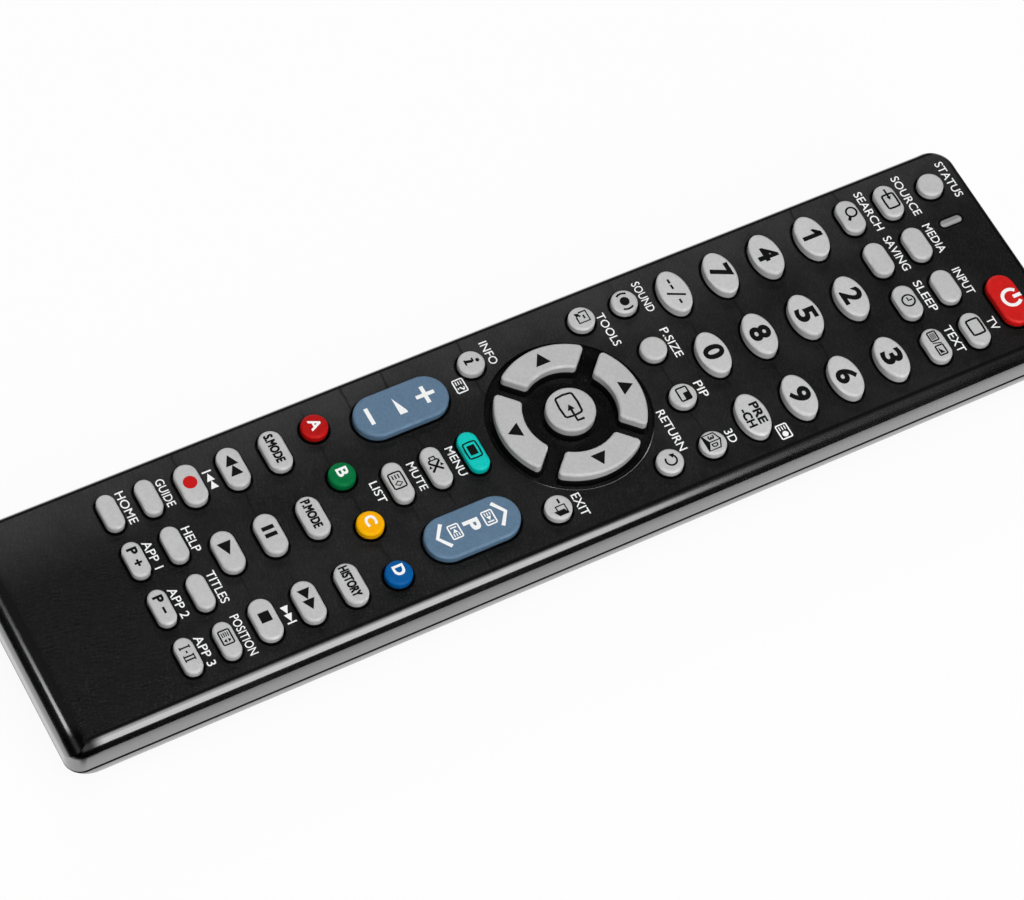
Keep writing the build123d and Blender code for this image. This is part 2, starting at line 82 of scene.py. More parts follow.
INDICATOR_LENGTH = 4.8
CELL_MIDDLE_Y = -52.2
SCOOP_DEPTH = 0.6


# Node trees

def wire(tree, kind, inputs=None, **settings):
    """Adds one node, sets its choices, and fills or links its inputs."""
    made = tree.nodes.new("ShaderNode" + kind)
    for name, value in settings.items():
        setattr(made, name, value)
    for key, value in (inputs or {}).items():
        if isinstance(value, bpy.types.NodeSocket):
            tree.links.new(value, made.inputs[key])
        else:
            made.inputs[key].default_value = value
    return made


def sums(tree, operation, first, second=0.0, clamp=False):
    """One step of arithmetic on two values or sockets."""
    step = wire(tree, "Math", {0: first, 1: second}, operation=operation, use_clamp=clamp)
    return step.outputs[0]


def either(tree, first, *others):
    """The greatest of several shares."""
    for share in others:
        first = sums(tree, "MAXIMUM", first, share)
    return first


def product(tree, first, *others):
    """Several shares multiplied together."""
    for share in others:
        first = sums(tree, "MULTIPLY", first, share)
    return first


def ramp_between(tree, value, low, high):
    """0 below low, 1 above high, with a soft step between them."""
    step = wire(tree, "MapRange", {"Value": value, "From Min": low, "From Max": high},
                interpolation_type="SMOOTHSTEP")
    return step.outputs["Result"]


def blend_colours(tree, share, first, second):
    """Mixes two colours by a share that changes over the surface."""
    mix = wire(tree, "Mix", {"Factor": share}, data_type="RGBA")
    for socket, value in ((mix.inputs[6], first), (mix.inputs[7], second)):
        if isinstance(value, bpy.types.NodeSocket):
            tree.links.new(value, socket)
        else:
            socket.default_value = (*value, 1.0)
    return mix.outputs[2]


def new_group(name, inputs, outputs):
    """A shader node group with named float or vector inputs and named outputs."""
    group = bpy.data.node_groups.new(name, "ShaderNodeTree")
    for label, kind, value in inputs:
        socket = group.interface.new_socket(label, in_out="INPUT", socket_type="NodeSocket" + kind)
        if value is not None:
            socket.default_value = value
    for label, kind in outputs:
        group.interface.new_socket(label, in_out="OUTPUT", socket_type="NodeSocket" + kind)
    entry = group.nodes.new("NodeGroupInput")
    leave = group.nodes.new("NodeGroupOutput")
    return group, entry.outputs, leave.inputs


def place_group(tree, group, inputs):
    """Puts a node group in a material with its own values."""
    return wire(tree, "Group", inputs, node_tree=group).outputs


def make_moulded_grain():
    """Fine spark-eroded texture of a moulding: a height, and a mottle for its colour."""
    group, entry, leave = new_group(
        "moulded_grain",
        [("Place", "Vector", None), ("Pits", "Float", 2600.0), ("Cloud", "Float", 180.0)],
        [("Height", "Float"), ("Mottle", "Float")])
    pits = wire(group, "TexNoise", {"Vector": entry["Place"], "Scale": entry["Pits"], "Detail": 3.0,
                                    "Roughness": 0.6})
    cloud = wire(group, "TexNoise", {"Vector": entry["Place"], "Scale": entry["Cloud"], "Detail": 2.0})
    both = sums(group, "MULTIPLY", pits.outputs["Fac"], 0.75)
    both = sums(group, "ADD", both, sums(group, "MULTIPLY", cloud.outputs["Fac"], 0.25))
    group.links.new(both, leave["Height"])
    group.links.new(ramp_between(group, both, 0.38, 0.62), leave["Mottle"])
    return group


def make_leather_grain():
    """The upper shell's grain: small flat-topped pebbles, uneven in height."""
    group, entry, leave = new_group(
        "leather_grain",
        [("Place", "Vector", None), ("Pebbles", "Float", 1500.0), ("Swirl", "Float", 0.0004)],
        [("Height", "Float"), ("Sheen mask", "Float")])
    drift = wire(group, "TexNoise", {"Vector": entry["Place"], "Scale": 700.0, "Detail": 2.0})
    push = wire(group, "VectorMath", {0: drift.outputs["Color"], 1: (0.5, 0.5, 0.5)}, operation="SUBTRACT")
    push = wire(group, "VectorMath", {0: push.outputs[0], "Scale": entry["Swirl"]}, operation="SCALE")
    moved = wire(group, "VectorMath", {0: entry["Place"], 1: push.outputs[0]}, operation="ADD")
    pebbles = wire(group, "TexVoronoi", {"Vector": moved.outputs[0], "Scale": entry["Pebbles"]},
                   feature="DISTANCE_TO_EDGE")
    tops = ramp_between(group, pebbles.outputs["Distance"], 0.02, 0.28)
    broad = wire(group, "TexNoise", {"Vector": entry["Place"], "Scale": 420.0, "Detail": 3.0})
    height = sums(group, "MULTIPLY", tops, broad.outputs["Fac"])
    height = sums(group, "ADD", height, sums(group, "MULTIPLY", broad.outputs["Fac"], 0.6))
    group.links.new(height, leave["Height"])
    group.links.new(ramp_between(group, height, 0.3, 0.9), leave["Sheen mask"])
    return group


def make_rubbed_edge_and_highlight():
    """A paler, smoother band near one height: wear where fingers polish a rim, and on the keys also a painted
    highlight along the rim.
    """
    group, entry, leave = new_group(
        "rubbed_edge_and_highlight",
        [("Place", "Vector", None), ("Rim height", "Float", 0.0), ("Band", "Float", 0.0004)],
        [("Rubbed", "Float")])
    parts = wire(group, "SeparateXYZ", {0: entry["Place"]})
    away = sums(group, "ABSOLUTE", sums(group, "SUBTRACT", parts.outputs["Z"], entry["Rim height"]))
    near = sums(group, "SUBTRACT", 1.0, sums(group, "DIVIDE", away, entry["Band"]), clamp=True)
    patches = wire(group, "TexNoise", {"Vector": entry["Place"], "Scale": 260.0, "Detail": 4.0})
    uneven = ramp_between(group, patches.outputs["Fac"], 0.4, 0.7)
    group.links.new(sums(group, "MULTIPLY", near, uneven), leave["Rubbed"])
    return group


def make_weld_line():
    """The faint wavy line where two streams of plastic met behind a row of holes."""
    group, entry, leave = new_group(
        "weld_line", [("Place", "Vector", None), ("Row", "Float", 0.0)], [("Line", "Float")])
    parts = wire(group, "SeparateXYZ", {0: entry["Place"]})
    drift = wire(group, "TexNoise", {"Vector": entry["Place"], "Scale": 130.0, "Detail": 3.0})
    bend = sums(group, "MULTIPLY", sums(group, "SUBTRACT", drift.outputs["Fac"], 0.5), WELD_WAVE * MM)
    away = sums(group, "SUBTRACT", sums(group, "ADD", parts.outputs["Y"], bend), entry["Row"])
    near = ramp_between(group, sums(group, "ABSOLUTE", away), WELD_HALF_WIDTH * MM, 0.02 * MM)
    fades = wire(group, "TexNoise", {"Vector": entry["Place"], "Scale": 75.0, "Detail": 1.0})
    share = ramp_between(group, fades.outputs["Fac"], 0.38, 0.6)
    group.links.new(sums(group, "MULTIPLY", near, share), leave["Line"])
    return group


MOULDED_GRAIN = make_moulded_grain()
LEATHER_GRAIN = make_leather_grain()
RUBBED_EDGE_AND_HIGHLIGHT = make_rubbed_edge_and_highlight()
WELD_LINE = make_weld_line()


# Finishes

DEEP_BLACK = (0.0006, 0.0006, 0.0006)


def new_finish(name):
    """A material, with its tree, its shader and the place on the object."""
    finish = bpy.data.materials.new(name)
    finish.use_nodes = True
    tree = finish.node_tree
    shader = tree.nodes["Principled BSDF"]
    place = wire(tree, "TexCoord").outputs["Object"]
    return finish, tree, shader, place


def dent(tree, shader, height, strength, distance):
    """Feeds a height to the shader's normal."""
    bump = wire(tree, "Bump", {"Height": height, "Strength": strength, "Distance": distance})
    tree.links.new(bump.outputs["Normal"], shader.inputs["Normal"])


def roughen(tree, shader, share, amount, base):
    """Sets the roughness: a base value, and more or less of it where the share is high."""
    change = sums(tree, "MULTIPLY", share, amount)
    tree.links.new(sums(tree, "ADD", change, base), shader.inputs["Roughness"])


def length_of(tree, x, y):
    """The length of a level arrow with these two sides."""
    arrow = wire(tree, "CombineXYZ", {"X": x, "Y": y})
    return wire(tree, "VectorMath", {0: arrow.outputs[0]}, operation="LENGTH").outputs["Value"]


def from_slot_line(tree, parts):
    """How far a point is from the middle line of the indicator's slot, and how far across it."""
    low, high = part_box("indicator_window")
    middle = (low + high) / 2
    straight = (INDICATOR_LENGTH - INDICATOR_WIDTH) / 2 * MM
    across = sums(tree, "SUBTRACT", parts.outputs["X"], middle.x)
    along = sums(tree, "ABSOLUTE", sums(tree, "SUBTRACT", parts.outputs["Y"], middle.y))
    past_end = sums(tree, "MAXIMUM", sums(tree, "SUBTRACT", along, straight), 0.0)
    return length_of(tree, across, past_end), across


def find_weld_lines(tree, place):
    """The faint lines across the face, one beside each row of keys."""
    weld = 0.0
    for row in KEY_ROWS:
        line = place_group(tree, WELD_LINE, {"Place": place, "Row": row * MM})
        weld = sums(tree, "MAXIMUM", weld, line["Line"])
    return weld


def find_crease_shade(tree, parts, on_face):
    """Painted shade along both long edges of the face, in the folds where it drops to the shoulders."""
    near = ramp_between(tree, parts.outputs["X"], (CREASE_X - 0.2) * MM, (CREASE_X + 0.2) * MM)
    from_far = sums(tree, "ABSOLUTE", sums(tree, "SUBTRACT", parts.outputs["X"], FAR_CREASE_X * MM))
    above = sums(tree, "GREATER_THAN", parts.outputs["Z"], SHOULDER_HEIGHT * MM)
    return product(tree, near, on_face), product(tree, sums(tree, "LESS_THAN", from_far, 0.4 * MM), above)


def find_gap_shade(tree, parts, on_face):
    """Painted shade round each key's hole, where the keys shelter the face, and round the indicator's slot.
    """
    slot_side = INDICATOR_WIDTH / 2
    slot_shade = ramp_between(tree, from_slot_line(tree, parts)[0], (slot_side + 0.45) * MM,
                             (slot_side + 0.3) * MM)
    # Ambient occlusion from the keys darkens the face beside them: painted shade.
    shelter = wire(tree, "AmbientOcclusion", {"Distance": 0.9 * MM}, samples=8, only_local=False)
    shade_beside_key = ramp_between(tree, shelter.outputs["AO"], 0.94, 0.66)
    return either(tree, slot_shade, product(tree, shade_beside_key, on_face))


def find_rubbed_corners(tree, parts):
    """The four round corners of the shoulder, where handling has dulled the gloss."""
    past_x = sums(tree, "SUBTRACT", sums(tree, "ABSOLUTE", parts.outputs["X"]), CORNER_X * MM)
    past_y = sums(tree, "SUBTRACT", sums(tree, "ABSOLUTE", parts.outputs["Y"]), CORNER_Y * MM)
    near = ramp_between(tree, length_of(tree, past_x, past_y), 6.2 * MM, 3.2 * MM)
    return product(tree, near, ramp_between(tree, parts.outputs["Z"], 15.4 * MM, 16.4 * MM))


def make_upper_shell():
    """Black upper shell: grained, matte face and key field, glossy shoulders and walls."""
    finish, tree, shader, place = new_finish("upper_shell_black")
    parts = wire(tree, "SeparateXYZ", {0: place})
    x, y, z = parts.outputs
    grain = place_group(tree, LEATHER_GRAIN, {"Place": place, "Pebbles": 1500.0, "Swirl": 0.0004})

    # Where the face, the key field, the recess and its rim are
    on_face = ramp_between(tree, z, (FACE_HEIGHT - 0.5) * MM, (FACE_HEIGHT - 0.01) * MM)
    from_middle = sums(tree, "ABSOLUTE", sums(tree, "SUBTRACT", y, FIELD_MIDDLE_Y * MM))
    in_field = product(tree, sums(tree, "LESS_THAN", sums(tree, "ABSOLUTE", x), FIELD_HALF_WIDTH * MM),
                       sums(tree, "LESS_THAN", from_middle, FIELD_HALF_LENGTH * MM))
    from_ring = length_of(tree, x, sums(tree, "SUBTRACT", y, RING_CENTRE_Y * MM))
    in_recess = sums(tree, "LESS_THAN", from_ring, RECESS_RADIUS * MM)
    in_rim = sums(tree, "LESS_THAN", from_ring, (RECESS_RADIUS + RECESS_RIM_WIDTH) * MM)
    recess_rim = product(tree, sums(tree, "SUBTRACT", in_rim, in_recess),
                         sums(tree, "LESS_THAN", z, (FACE_HEIGHT - 0.004) * MM))
    # Painted glint: on its +X side the recess rim stays glossy and is painted pale where it catches the
    # light.
    glint_rim = product(tree, recess_rim, ramp_between(tree, x, 8.5 * MM, 12.5 * MM))
    matte = sums(tree, "SUBTRACT", either(tree, on_face, in_field), glint_rim, clamp=True)
    gloss = sums(tree, "SUBTRACT", 1.0, matte)

    # Dark, dull lines: the welds, and painted shade in the creases, along the seam, in the gaps round the
    # keys and the slot, and on the recess wall
    weld = product(tree, find_weld_lines(tree, place), on_face, 0.6)
    crease_shade, far_crease_shade = find_crease_shade(tree, parts, on_face)
    # Painted shade along the seam at the lower edge of the shell, and along the far crease.
    seam_shade = either(tree, sums(tree, "LESS_THAN", z, (SEAM_HEIGHT + 0.3) * MM), far_crease_shade)
    # Painted shade: the recess wall is painted black too, except where it carries the glint.
    dull = either(tree, weld, crease_shade, seam_shade, find_gap_shade(tree, parts, on_face),
                  sums(tree, "SUBTRACT", recess_rim, glint_rim))

    # Colour: cloudy black, painted shade towards the foot, a painted sheen towards the far long side, the
    # dark lines painted black and a painted glint on the recess rim
    mottle = wire(tree, "TexNoise", {"Vector": place, "Scale": 55.0, "Detail": 6.0})
    cloudy = sums(tree, "ADD", product(tree, ramp_between(tree, mottle.outputs["Fac"], 0.35, 0.68), 0.6),
                  product(tree, grain["Sheen mask"], 0.4))
    colour = blend_colours(tree, cloudy, (0.0008, 0.0008, 0.0009), (0.0125, 0.0125, 0.0127))
    # Painted shade: the face is painted blacker towards the foot.
    foot_shade = ramp_between(tree, sums(tree, "ADD", product(tree, x, 0.7), y), -60 * MM, -84 * MM)
    colour = blend_colours(tree, foot_shade, colour, DEEP_BLACK)
    uneven = sums(tree, "ADD", product(tree, cloudy, 0.6), 0.6)
    # Painted sheen: the face is painted greyer towards its far long side, at -X.
    far_side_sheen = sums(tree, "MULTIPLY", ramp_between(tree, x, -6 * MM, -25 * MM), uneven, clamp=True)
    far_side_sheen = product(tree, far_side_sheen, sums(tree, "SUBTRACT", on_face, in_recess, clamp=True))
    colour = blend_colours(tree, far_side_sheen, colour, (0.034, 0.034, 0.034))
    # Paints the dark lines black: the welds, and the painted shade of the creases, seam, gaps and recess
    # wall.
    colour = blend_colours(tree, dull, colour, DEEP_BLACK)
    # Painted glint in pale grey along the recess rim.
    colour = blend_colours(tree, product(tree, glint_rim, 0.5), colour, (0.5, 0.5, 0.5))
    tree.links.new(colour, shader.inputs["Base Color"])

    # Roughness and gloss
    rough = sums(tree, "ADD", product(tree, grain["Sheen mask"], -0.08), 0.5)
    rough = product(tree, sums(tree, "SUBTRACT", rough, product(tree, in_recess, 0.27)), matte)
    rough = sums(tree, "ADD", rough, product(tree, gloss, 0.25))
    tree.links.new(sums(tree, "ADD", rough, product(tree, dull, 0.5), clamp=True), shader.inputs["Roughness"])
    kept = sums(tree, "SUBTRACT", 1.0, either(tree, product(tree, weld, 0.4), seam_shade))
    kept = sums(tree, "SUBTRACT", kept, find_rubbed_corners(tree, parts), clamp=True)
    tree.links.new(product(tree, gloss, kept), shader.inputs["Coat Weight"])
    shader.inputs["Specular IOR Level"].default_value = 0.2
    shader.inputs["Coat Roughness"].default_value = 0.13
    shader.inputs["Coat IOR"].default_value = 2.4

    # Grain, sunk along the welds and flatter in the recess
    height = product(tree, grain["Height"], sums(tree, "ADD", product(tree, matte, 0.95), 0.05))
    height = sums(tree, "SUBTRACT", height, product(tree, weld, 0.8))
    height = product(tree, height, sums(tree, "SUBTRACT", 1.0, product(tree, in_recess, 0.7)))
    dent(tree, shader, height, 0.7, 0.12 * MM)
    return finish


def make_lower_shell():
    """Black lower shell and battery door: fine spark-eroded texture, smoother round its rim."""
    finish, tree, shader, place = new_finish("lower_shell_black")
    parts = wire(tree, "SeparateXYZ", {0: place})
    grain = place_group(tree, MOULDED_GRAIN, {"Place": place, "Pits": 1900.0, "Cloud": 120.0})
    wear_and_highlight = place_group(tree, RUBBED_EDGE_AND_HIGHLIGHT, {"Place": place, "Rim height": 0.2 * MM, "Band": 0.9 * MM})
    plain = blend_colours(tree, grain["Mottle"], (0.006, 0.006, 0.0063), (0.012, 0.0118, 0.012))
    colour = blend_colours(tree, product(tree, wear_and_highlight["Rubbed"], 0.2), plain, (0.035, 0.034, 0.033))
    tree.links.new(colour, shader.inputs["Base Color"])
    roughen(tree, shader, grain["Mottle"], 0.1, 0.42)
    shader.inputs["Specular IOR Level"].default_value = 0.4
    near_rim = ramp_between(tree, parts.outputs["Z"], 2.5 * MM, 4.0 * MM)
    below_seam = sums(tree, "LESS_THAN", parts.outputs["Z"], (SEAM_HEIGHT - 0.6) * MM)
    tree.links.new(product(tree, near_rim, below_seam), shader.inputs["Coat Weight"])
    shader.inputs["Coat Roughness"].default_value = 0.25
    shader.inputs["Coat IOR"].default_value = 2.4
    dent(tree, shader, grain["Height"], 0.3, 0.08 * MM)
    return finish


def make_key_finish(name, colour, deep, rough=0.34, top=KEY_HEIGHT, painted_shade_top=19.2, shine=0.5):
    """Moulded key plastic: mottled colour, fine grain, a paler rim that is partly wear and partly painted
    highlight, and painted shade in near-black below the cap.
    """
    finish, tree, shader, place = new_finish(name)
    parts = wire(tree, "SeparateXYZ", {0: place})
    grain = place_group(tree, MOULDED_GRAIN, {"Place": place, "Pits": 2200.0, "Cloud": 240.0})
    wear_and_highlight = place_group(tree, RUBBED_EDGE_AND_HIGHLIGHT, {"Place": place, "Rim height": (top - 0.3) * MM, "Band": 0.3 * MM})
    plain = blend_colours(tree, grain["Mottle"], deep, colour)
    pale = tuple(min(1.0, 1.5 * part) for part in colour)
    # The pale rim is partly wear and partly a painted highlight where the rounded top edge catches the light.
    shade = blend_colours(tree, product(tree, wear_and_highlight["Rubbed"], 0.9), plain, pale)
    # Below the given height the key is painted near-black: painted shade where its side sinks into the hole.
    above_painted_shade = ramp_between(tree, parts.outputs["Z"], (painted_shade_top - 0.08) * MM, (painted_shade_top + 0.08) * MM)
    tree.links.new(blend_colours(tree, above_painted_shade, (0.004, 0.004, 0.004), shade), shader.inputs["Base Color"])
    rougher = sums(tree, "ADD", product(tree, grain["Mottle"], 0.08), rough)
    smoother = sums(tree, "SUBTRACT", rougher, product(tree, wear_and_highlight["Rubbed"], 0.12))
    tree.links.new(smoother, shader.inputs["Roughness"])
    shader.inputs["Specular IOR Level"].default_value = shine
    dent(tree, shader, grain["Height"], 0.16, 0.06 * MM)
    return finish


def make_contact_mat():
    """Rubber mat under the keys: dull grey-black with a faint bloom."""
    finish, tree, shader, place = new_finish("rubber_mat_grey")
    grain = place_group(tree, MOULDED_GRAIN, {"Place": place, "Pits": 1500.0, "Cloud": 90.0})
    bloom = wire(tree, "TexNoise", {"Vector": place, "Scale": 45.0, "Detail": 5.0})
    plain = blend_colours(tree, grain["Mottle"], (0.012, 0.012, 0.013), (0.022, 0.022, 0.023))
    dusty = product(tree, ramp_between(tree, bloom.outputs["Fac"], 0.5, 0.75), 0.4)
    tree.links.new(blend_colours(tree, dusty, plain, (0.06, 0.06, 0.062)), shader.inputs["Base Color"])
    roughen(tree, shader, dusty, 0.2, 0.62)
    dent(tree, shader, grain["Height"], 0.25, 0.06 * MM)
    return finish


def make_board_finish():
    """Green circuit board: glass weave under lacquer, with paler copper tracks."""
    finish, tree, shader, place = new_finish("board_green_lacquer")
    weave = wire(tree, "TexWave", {"Vector": place, "Scale": 900.0, "Distortion": 1.5}, wave_type="BANDS",
                 bands_direction="X")
    cross = wire(tree, "TexWave", {"Vector": place, "Scale": 900.0, "Distortion": 1.5}, wave_type="BANDS",
                 bands_direction="Y")
    woven = product(tree, weave.outputs["Fac"], cross.outputs["Fac"])
    tracks = wire(tree, "TexBrick", {"Vector": place, "Scale": 120.0, "Mortar Size": 0.03, "Brick Width": 0.9,
                                     "Row Height": 0.25})
    base = blend_colours(tree, woven, (0.006, 0.10, 0.035), (0.010, 0.16, 0.055))
    traced = blend_colours(tree, tracks.outputs["Fac"], base, (0.03, 0.26, 0.10))
    tree.links.new(traced, shader.inputs["Base Color"])
    roughen(tree, shader, woven, 0.1, 0.3)
    raised = sums(tree, "ADD", product(tree, woven, 0.3), tracks.outputs["Fac"])
    dent(tree, shader, raised, 0.3, 0.04 * MM)
    return finish


def make_component_finish():
    """Black moulded chip bodies: dull top with a fine matt texture."""
    finish, tree, shader, place = new_finish("component_black_resin")
    grain = place_group(tree, MOULDED_GRAIN, {"Place": place, "Pits": 2600.0, "Cloud": 400.0})
    plain = blend_colours(tree, grain["Mottle"], (0.010, 0.010, 0.011), (0.026, 0.026, 0.027))
    tree.links.new(plain, shader.inputs["Base Color"])
    roughen(tree, shader, grain["Mottle"], 0.15, 0.5)
    dent(tree, shader, grain["Height"], 0.3, 0.05 * MM)
    return finish


def make_window_finish(name, colour, deep, rough):
    """Tinted plastic window: clear gloss over a slightly cloudy body."""
    finish, tree, shader, place = new_finish(name)
    cloud = wire(tree, "TexNoise", {"Vector": place, "Scale": 320.0, "Detail": 4.0})
    tree.links.new(blend_colours(tree, cloud.outputs["Fac"], deep, colour), shader.inputs["Base Color"])
    scuffs = wire(tree, "TexNoise", {"Vector": place, "Scale": 900.0, "Detail": 2.0})
    roughen(tree, shader, scuffs.outputs["Fac"], 0.14, rough)
    dent(tree, shader, cloud.outputs["Fac"], 0.1, 0.04 * MM)
    return finish


def make_indicator():
    """Pale light pipe in its slot: a brighter stripe along the middle and painted shade in black round its
    edge, where the gap in the slot would be.
    """
    finish, tree, shader, place = new_finish("indicator_window_pale")
    parts = wire(tree, "SeparateXYZ", {0: place})
    spread, across = from_slot_line(tree, parts)
    # Painted shade in black round the edge of the window.
    rim_shade = ramp_between(tree, spread, (INDICATOR_WIDTH / 2 - 0.16) * MM, (INDICATOR_WIDTH / 2 - 0.06) * MM)
    from_stripe = sums(tree, "ABSOLUTE", sums(tree, "SUBTRACT", across, 0.25 * MM))
    stripe = ramp_between(tree, from_stripe, 0.5 * MM, 0.1 * MM)
    cloud = wire(tree, "TexNoise", {"Vector": place, "Scale": 320.0, "Detail": 4.0})
    plain = blend_colours(tree, cloud.outputs["Fac"], (0.24, 0.24, 0.24), (0.30, 0.30, 0.30))
    plain = blend_colours(tree, product(tree, stripe, 0.7), plain, (0.48, 0.48, 0.48))
    tree.links.new(blend_colours(tree, rim_shade, plain, (0.001, 0.001, 0.001)), shader.inputs["Base Color"])
    roughen(tree, shader, cloud.outputs["Fac"], 0.1, 0.22)
    dent(tree, shader, cloud.outputs["Fac"], 0.1, 0.04 * MM)
    return finish


def make_cell_wrap():
    """Printed film round both battery cells: a dark body, and a bright band at each one's plus end."""
    finish, tree, shader, place = new_finish("cell_wrap_film")
    parts = wire(tree, "SeparateXYZ", {0: place})
    creases = wire(tree, "TexNoise", {"Vector": place, "Scale": 260.0, "Detail": 3.0})
    from_middle = sums(tree, "SUBTRACT", parts.outputs["Y"], CELL_MIDDLE_Y * MM)
    plus_side = sums(tree, "SIGN", product(tree, parts.outputs["X"], -1.0))
    towards_plus = sums(tree, "ADD", product(tree, from_middle, plus_side),
                        product(tree, creases.outputs["Fac"], 0.2 * MM))
    band = ramp_between(tree, towards_plus, 11.8 * MM, 12.2 * MM)
    colour = blend_colours(tree, band, (0.02, 0.024, 0.03), (0.42, 0.30, 0.10))
    tree.links.new(colour, shader.inputs["Base Color"])
    roughen(tree, shader, creases.outputs["Fac"], 0.12, 0.2)
    tree.links.new(product(tree, band, 0.6), shader.inputs["Metallic"])
    dent(tree, shader, creases.outputs["Fac"], 0.15, 0.05 * MM)
    return finish


def make_contact_metal():
    """Nickel-plated spring steel, drawn along its length and a little dull in patches."""
    finish, tree, shader, place = new_finish("contact_nickel")
    drawn = wire(tree, "Mapping", {"Vector": place, "Scale": (5.0, 1.0, 5.0)})
    lines = wire(tree, "TexNoise", {"Vector": drawn.outputs[0], "Scale": 1400.0, "Detail": 2.0})
    dull = wire(tree, "TexNoise", {"Vector": place, "Scale": 300.0, "Detail": 4.0})
    tree.links.new(blend_colours(tree, dull.outputs["Fac"], (0.52, 0.50, 0.47), (0.66, 0.65, 0.62)),
                   shader.inputs["Base Color"])
    roughen(tree, shader, lines.outputs["Fac"], 0.2, 0.2)
    shader.inputs["Metallic"].default_value = 1.0
    dent(tree, shader, lines.outputs["Fac"], 0.15, 0.03 * MM)
    return finish


def make_ink(name, colour, rough=0.5, shine=0.4):
    """Printed ink: nearly even, with the thin patches of pad printing."""
    finish, tree, shader, place = new_finish(name)
    patches = wire(tree, "TexNoise", {"Vector": place, "Scale": 1400.0, "Detail": 3.0})
    thin = ramp_between(tree, patches.outputs["Fac"], 0.62, 0.8)
    faded = tuple(0.85 * part + 0.008 for part in colour)
    tree.links.new(blend_colours(tree, thin, colour, faded), shader.inputs["Base Color"])
    roughen(tree, shader, thin, 0.2, rough)
    shader.inputs["Specular IOR Level"].default_value = shine
    dent(tree, shader, patches.outputs["Fac"], 0.1, 0.03 * MM)
    return finish


GREY = (0.565, 0.565, 0.565)
GREY_DEEP = (0.515, 0.515, 0.515)
# Lighter copy of the key grey for the number keys, darker copy for the arrow keys: painted light and shade
NUMBER_GREY_LIT = (0.61, 0.61, 0.61)
NUMBER_GREY_LIT_DEEP = (0.555, 0.555, 0.555)
ARROW_GREY_SHADED = (0.535, 0.535, 0.535)
ARROW_GREY_SHADED_DEEP = (0.485, 0.485, 0.485)
FINISHES = {
    "key_grey": make_key_finish("key_grey_plastic", GREY, GREY_DEEP),
    "number_grey": make_key_finish(
        "number_key_grey", NUMBER_GREY_LIT, NUMBER_GREY_LIT_DEEP, top=NUMBER_HEIGHT, painted_shade_top=19.05),
    "arrow_grey_shaded": make_key_finish(
        "arrow_key_grey", ARROW_GREY_SHADED, ARROW_GREY_SHADED_DEEP, top=ARROW_HEIGHT, painted_shade_top=19.6),
    "power_red": make_key_finish(
        "power_key_red", (0.66, 0.010, 0.009), (0.58, 0.008, 0.007), 0.36, shine=0.25),
    "key_teal": make_key_finish(
        "menu_key_teal", (0.0, 0.60, 0.53), (0.0, 0.53, 0.47), 0.4, shine=0.2),
    "key_red": make_key_finish(
        "letter_key_red", (0.48, 0.008, 0.007), (0.42, 0.006, 0.006), 0.38, shine=0.1),
    "key_green": make_key_finish(
        "letter_key_green", (0.001, 0.178, 0.050), (0.001, 0.15, 0.042), 0.38, shine=0.08),
    "key_yellow": make_key_finish(
        "letter_key_yellow", (1.0, 0.46, 0.001), (0.95, 0.42, 0.001), 0.4, shine=0.06),
    "key_blue": make_key_finish(
        "letter_key_blue", (0.001, 0.108, 0.36), (0.001, 0.09, 0.31), 0.38, shine=0.1),
    "rocker_blue": make_key_finish(
        "rocker_steel_blue", (0.115, 0.20, 0.30), (0.098, 0.175, 0.27), 0.42, painted_shade_top=19.1, shine=0.3),
    "case_black": make_upper_shell(),
    "back_black": make_lower_shell(),
    "mat_rubber": make_contact_mat(),
    "board_green": make_board_finish(),
    "component_black": make_component_finish(),
    "lamp_clear": make_window_finish(
        "lamp_clear_resin", (0.16, 0.17, 0.20), (0.10, 0.11, 0.14), 0.05),
    "window_dark": make_window_finish(
        "infrared_window_dark", (0.012, 0.003, 0.004), (0.006, 0.002, 0.002), 0.06),
    "window_pale": make_indicator(),
    "cell_wrap": make_cell_wrap(),
    "contact_metal": make_contact_metal(),
}
WHITE_INK = make_ink("white_ink", (0.95, 0.95, 0.95))
BLACK_INK = make_ink("black_ink", (0.002, 0.002, 0.002), 0.6, 0.12)
RED_INK = make_ink("red_ink", (0.56, 0.008, 0.007), 0.5, 0.12)
ARROW_NODES = ("up_key", "left_key", "down_key", "right_key", "enter_key")
NUMBER_NODES = tuple(name for name in nodes if name.startswith("number_")) + ("dash_key", "previous_key")

# Each node's colour slot gets its finish; the number keys and the arrow keys get lighter and darker copies of
# the key grey, painted light and shade
for name, cad_node in nodes.items():
    for index, old in enumerate(cad_node.data.materials):
        slot = old.name.split(".")[0]
        if slot == "key_grey" and name in ARROW_NODES:
            slot = "arrow_grey_shaded"
        elif slot == "key_grey" and name in NUMBER_NODES:
            slot = "number_grey"
        cad_node.data.materials[index] = FINISHES[slot]


# Printing

INK_RISE = 0.02
INK_DEPTH = 0.04
LAYER_RISE = 0.002


def trace_strokes(data, points, closed):
    """Adds straight strokes through flat points to a curve."""
    spline = data.splines.new("POLY")
    spline.points.add(len(points) - 1)
    for point, (x, y) in zip(spline.points, points):
        point.co = (x, y, 0, 1)
    spline.use_cyclic_u = closed


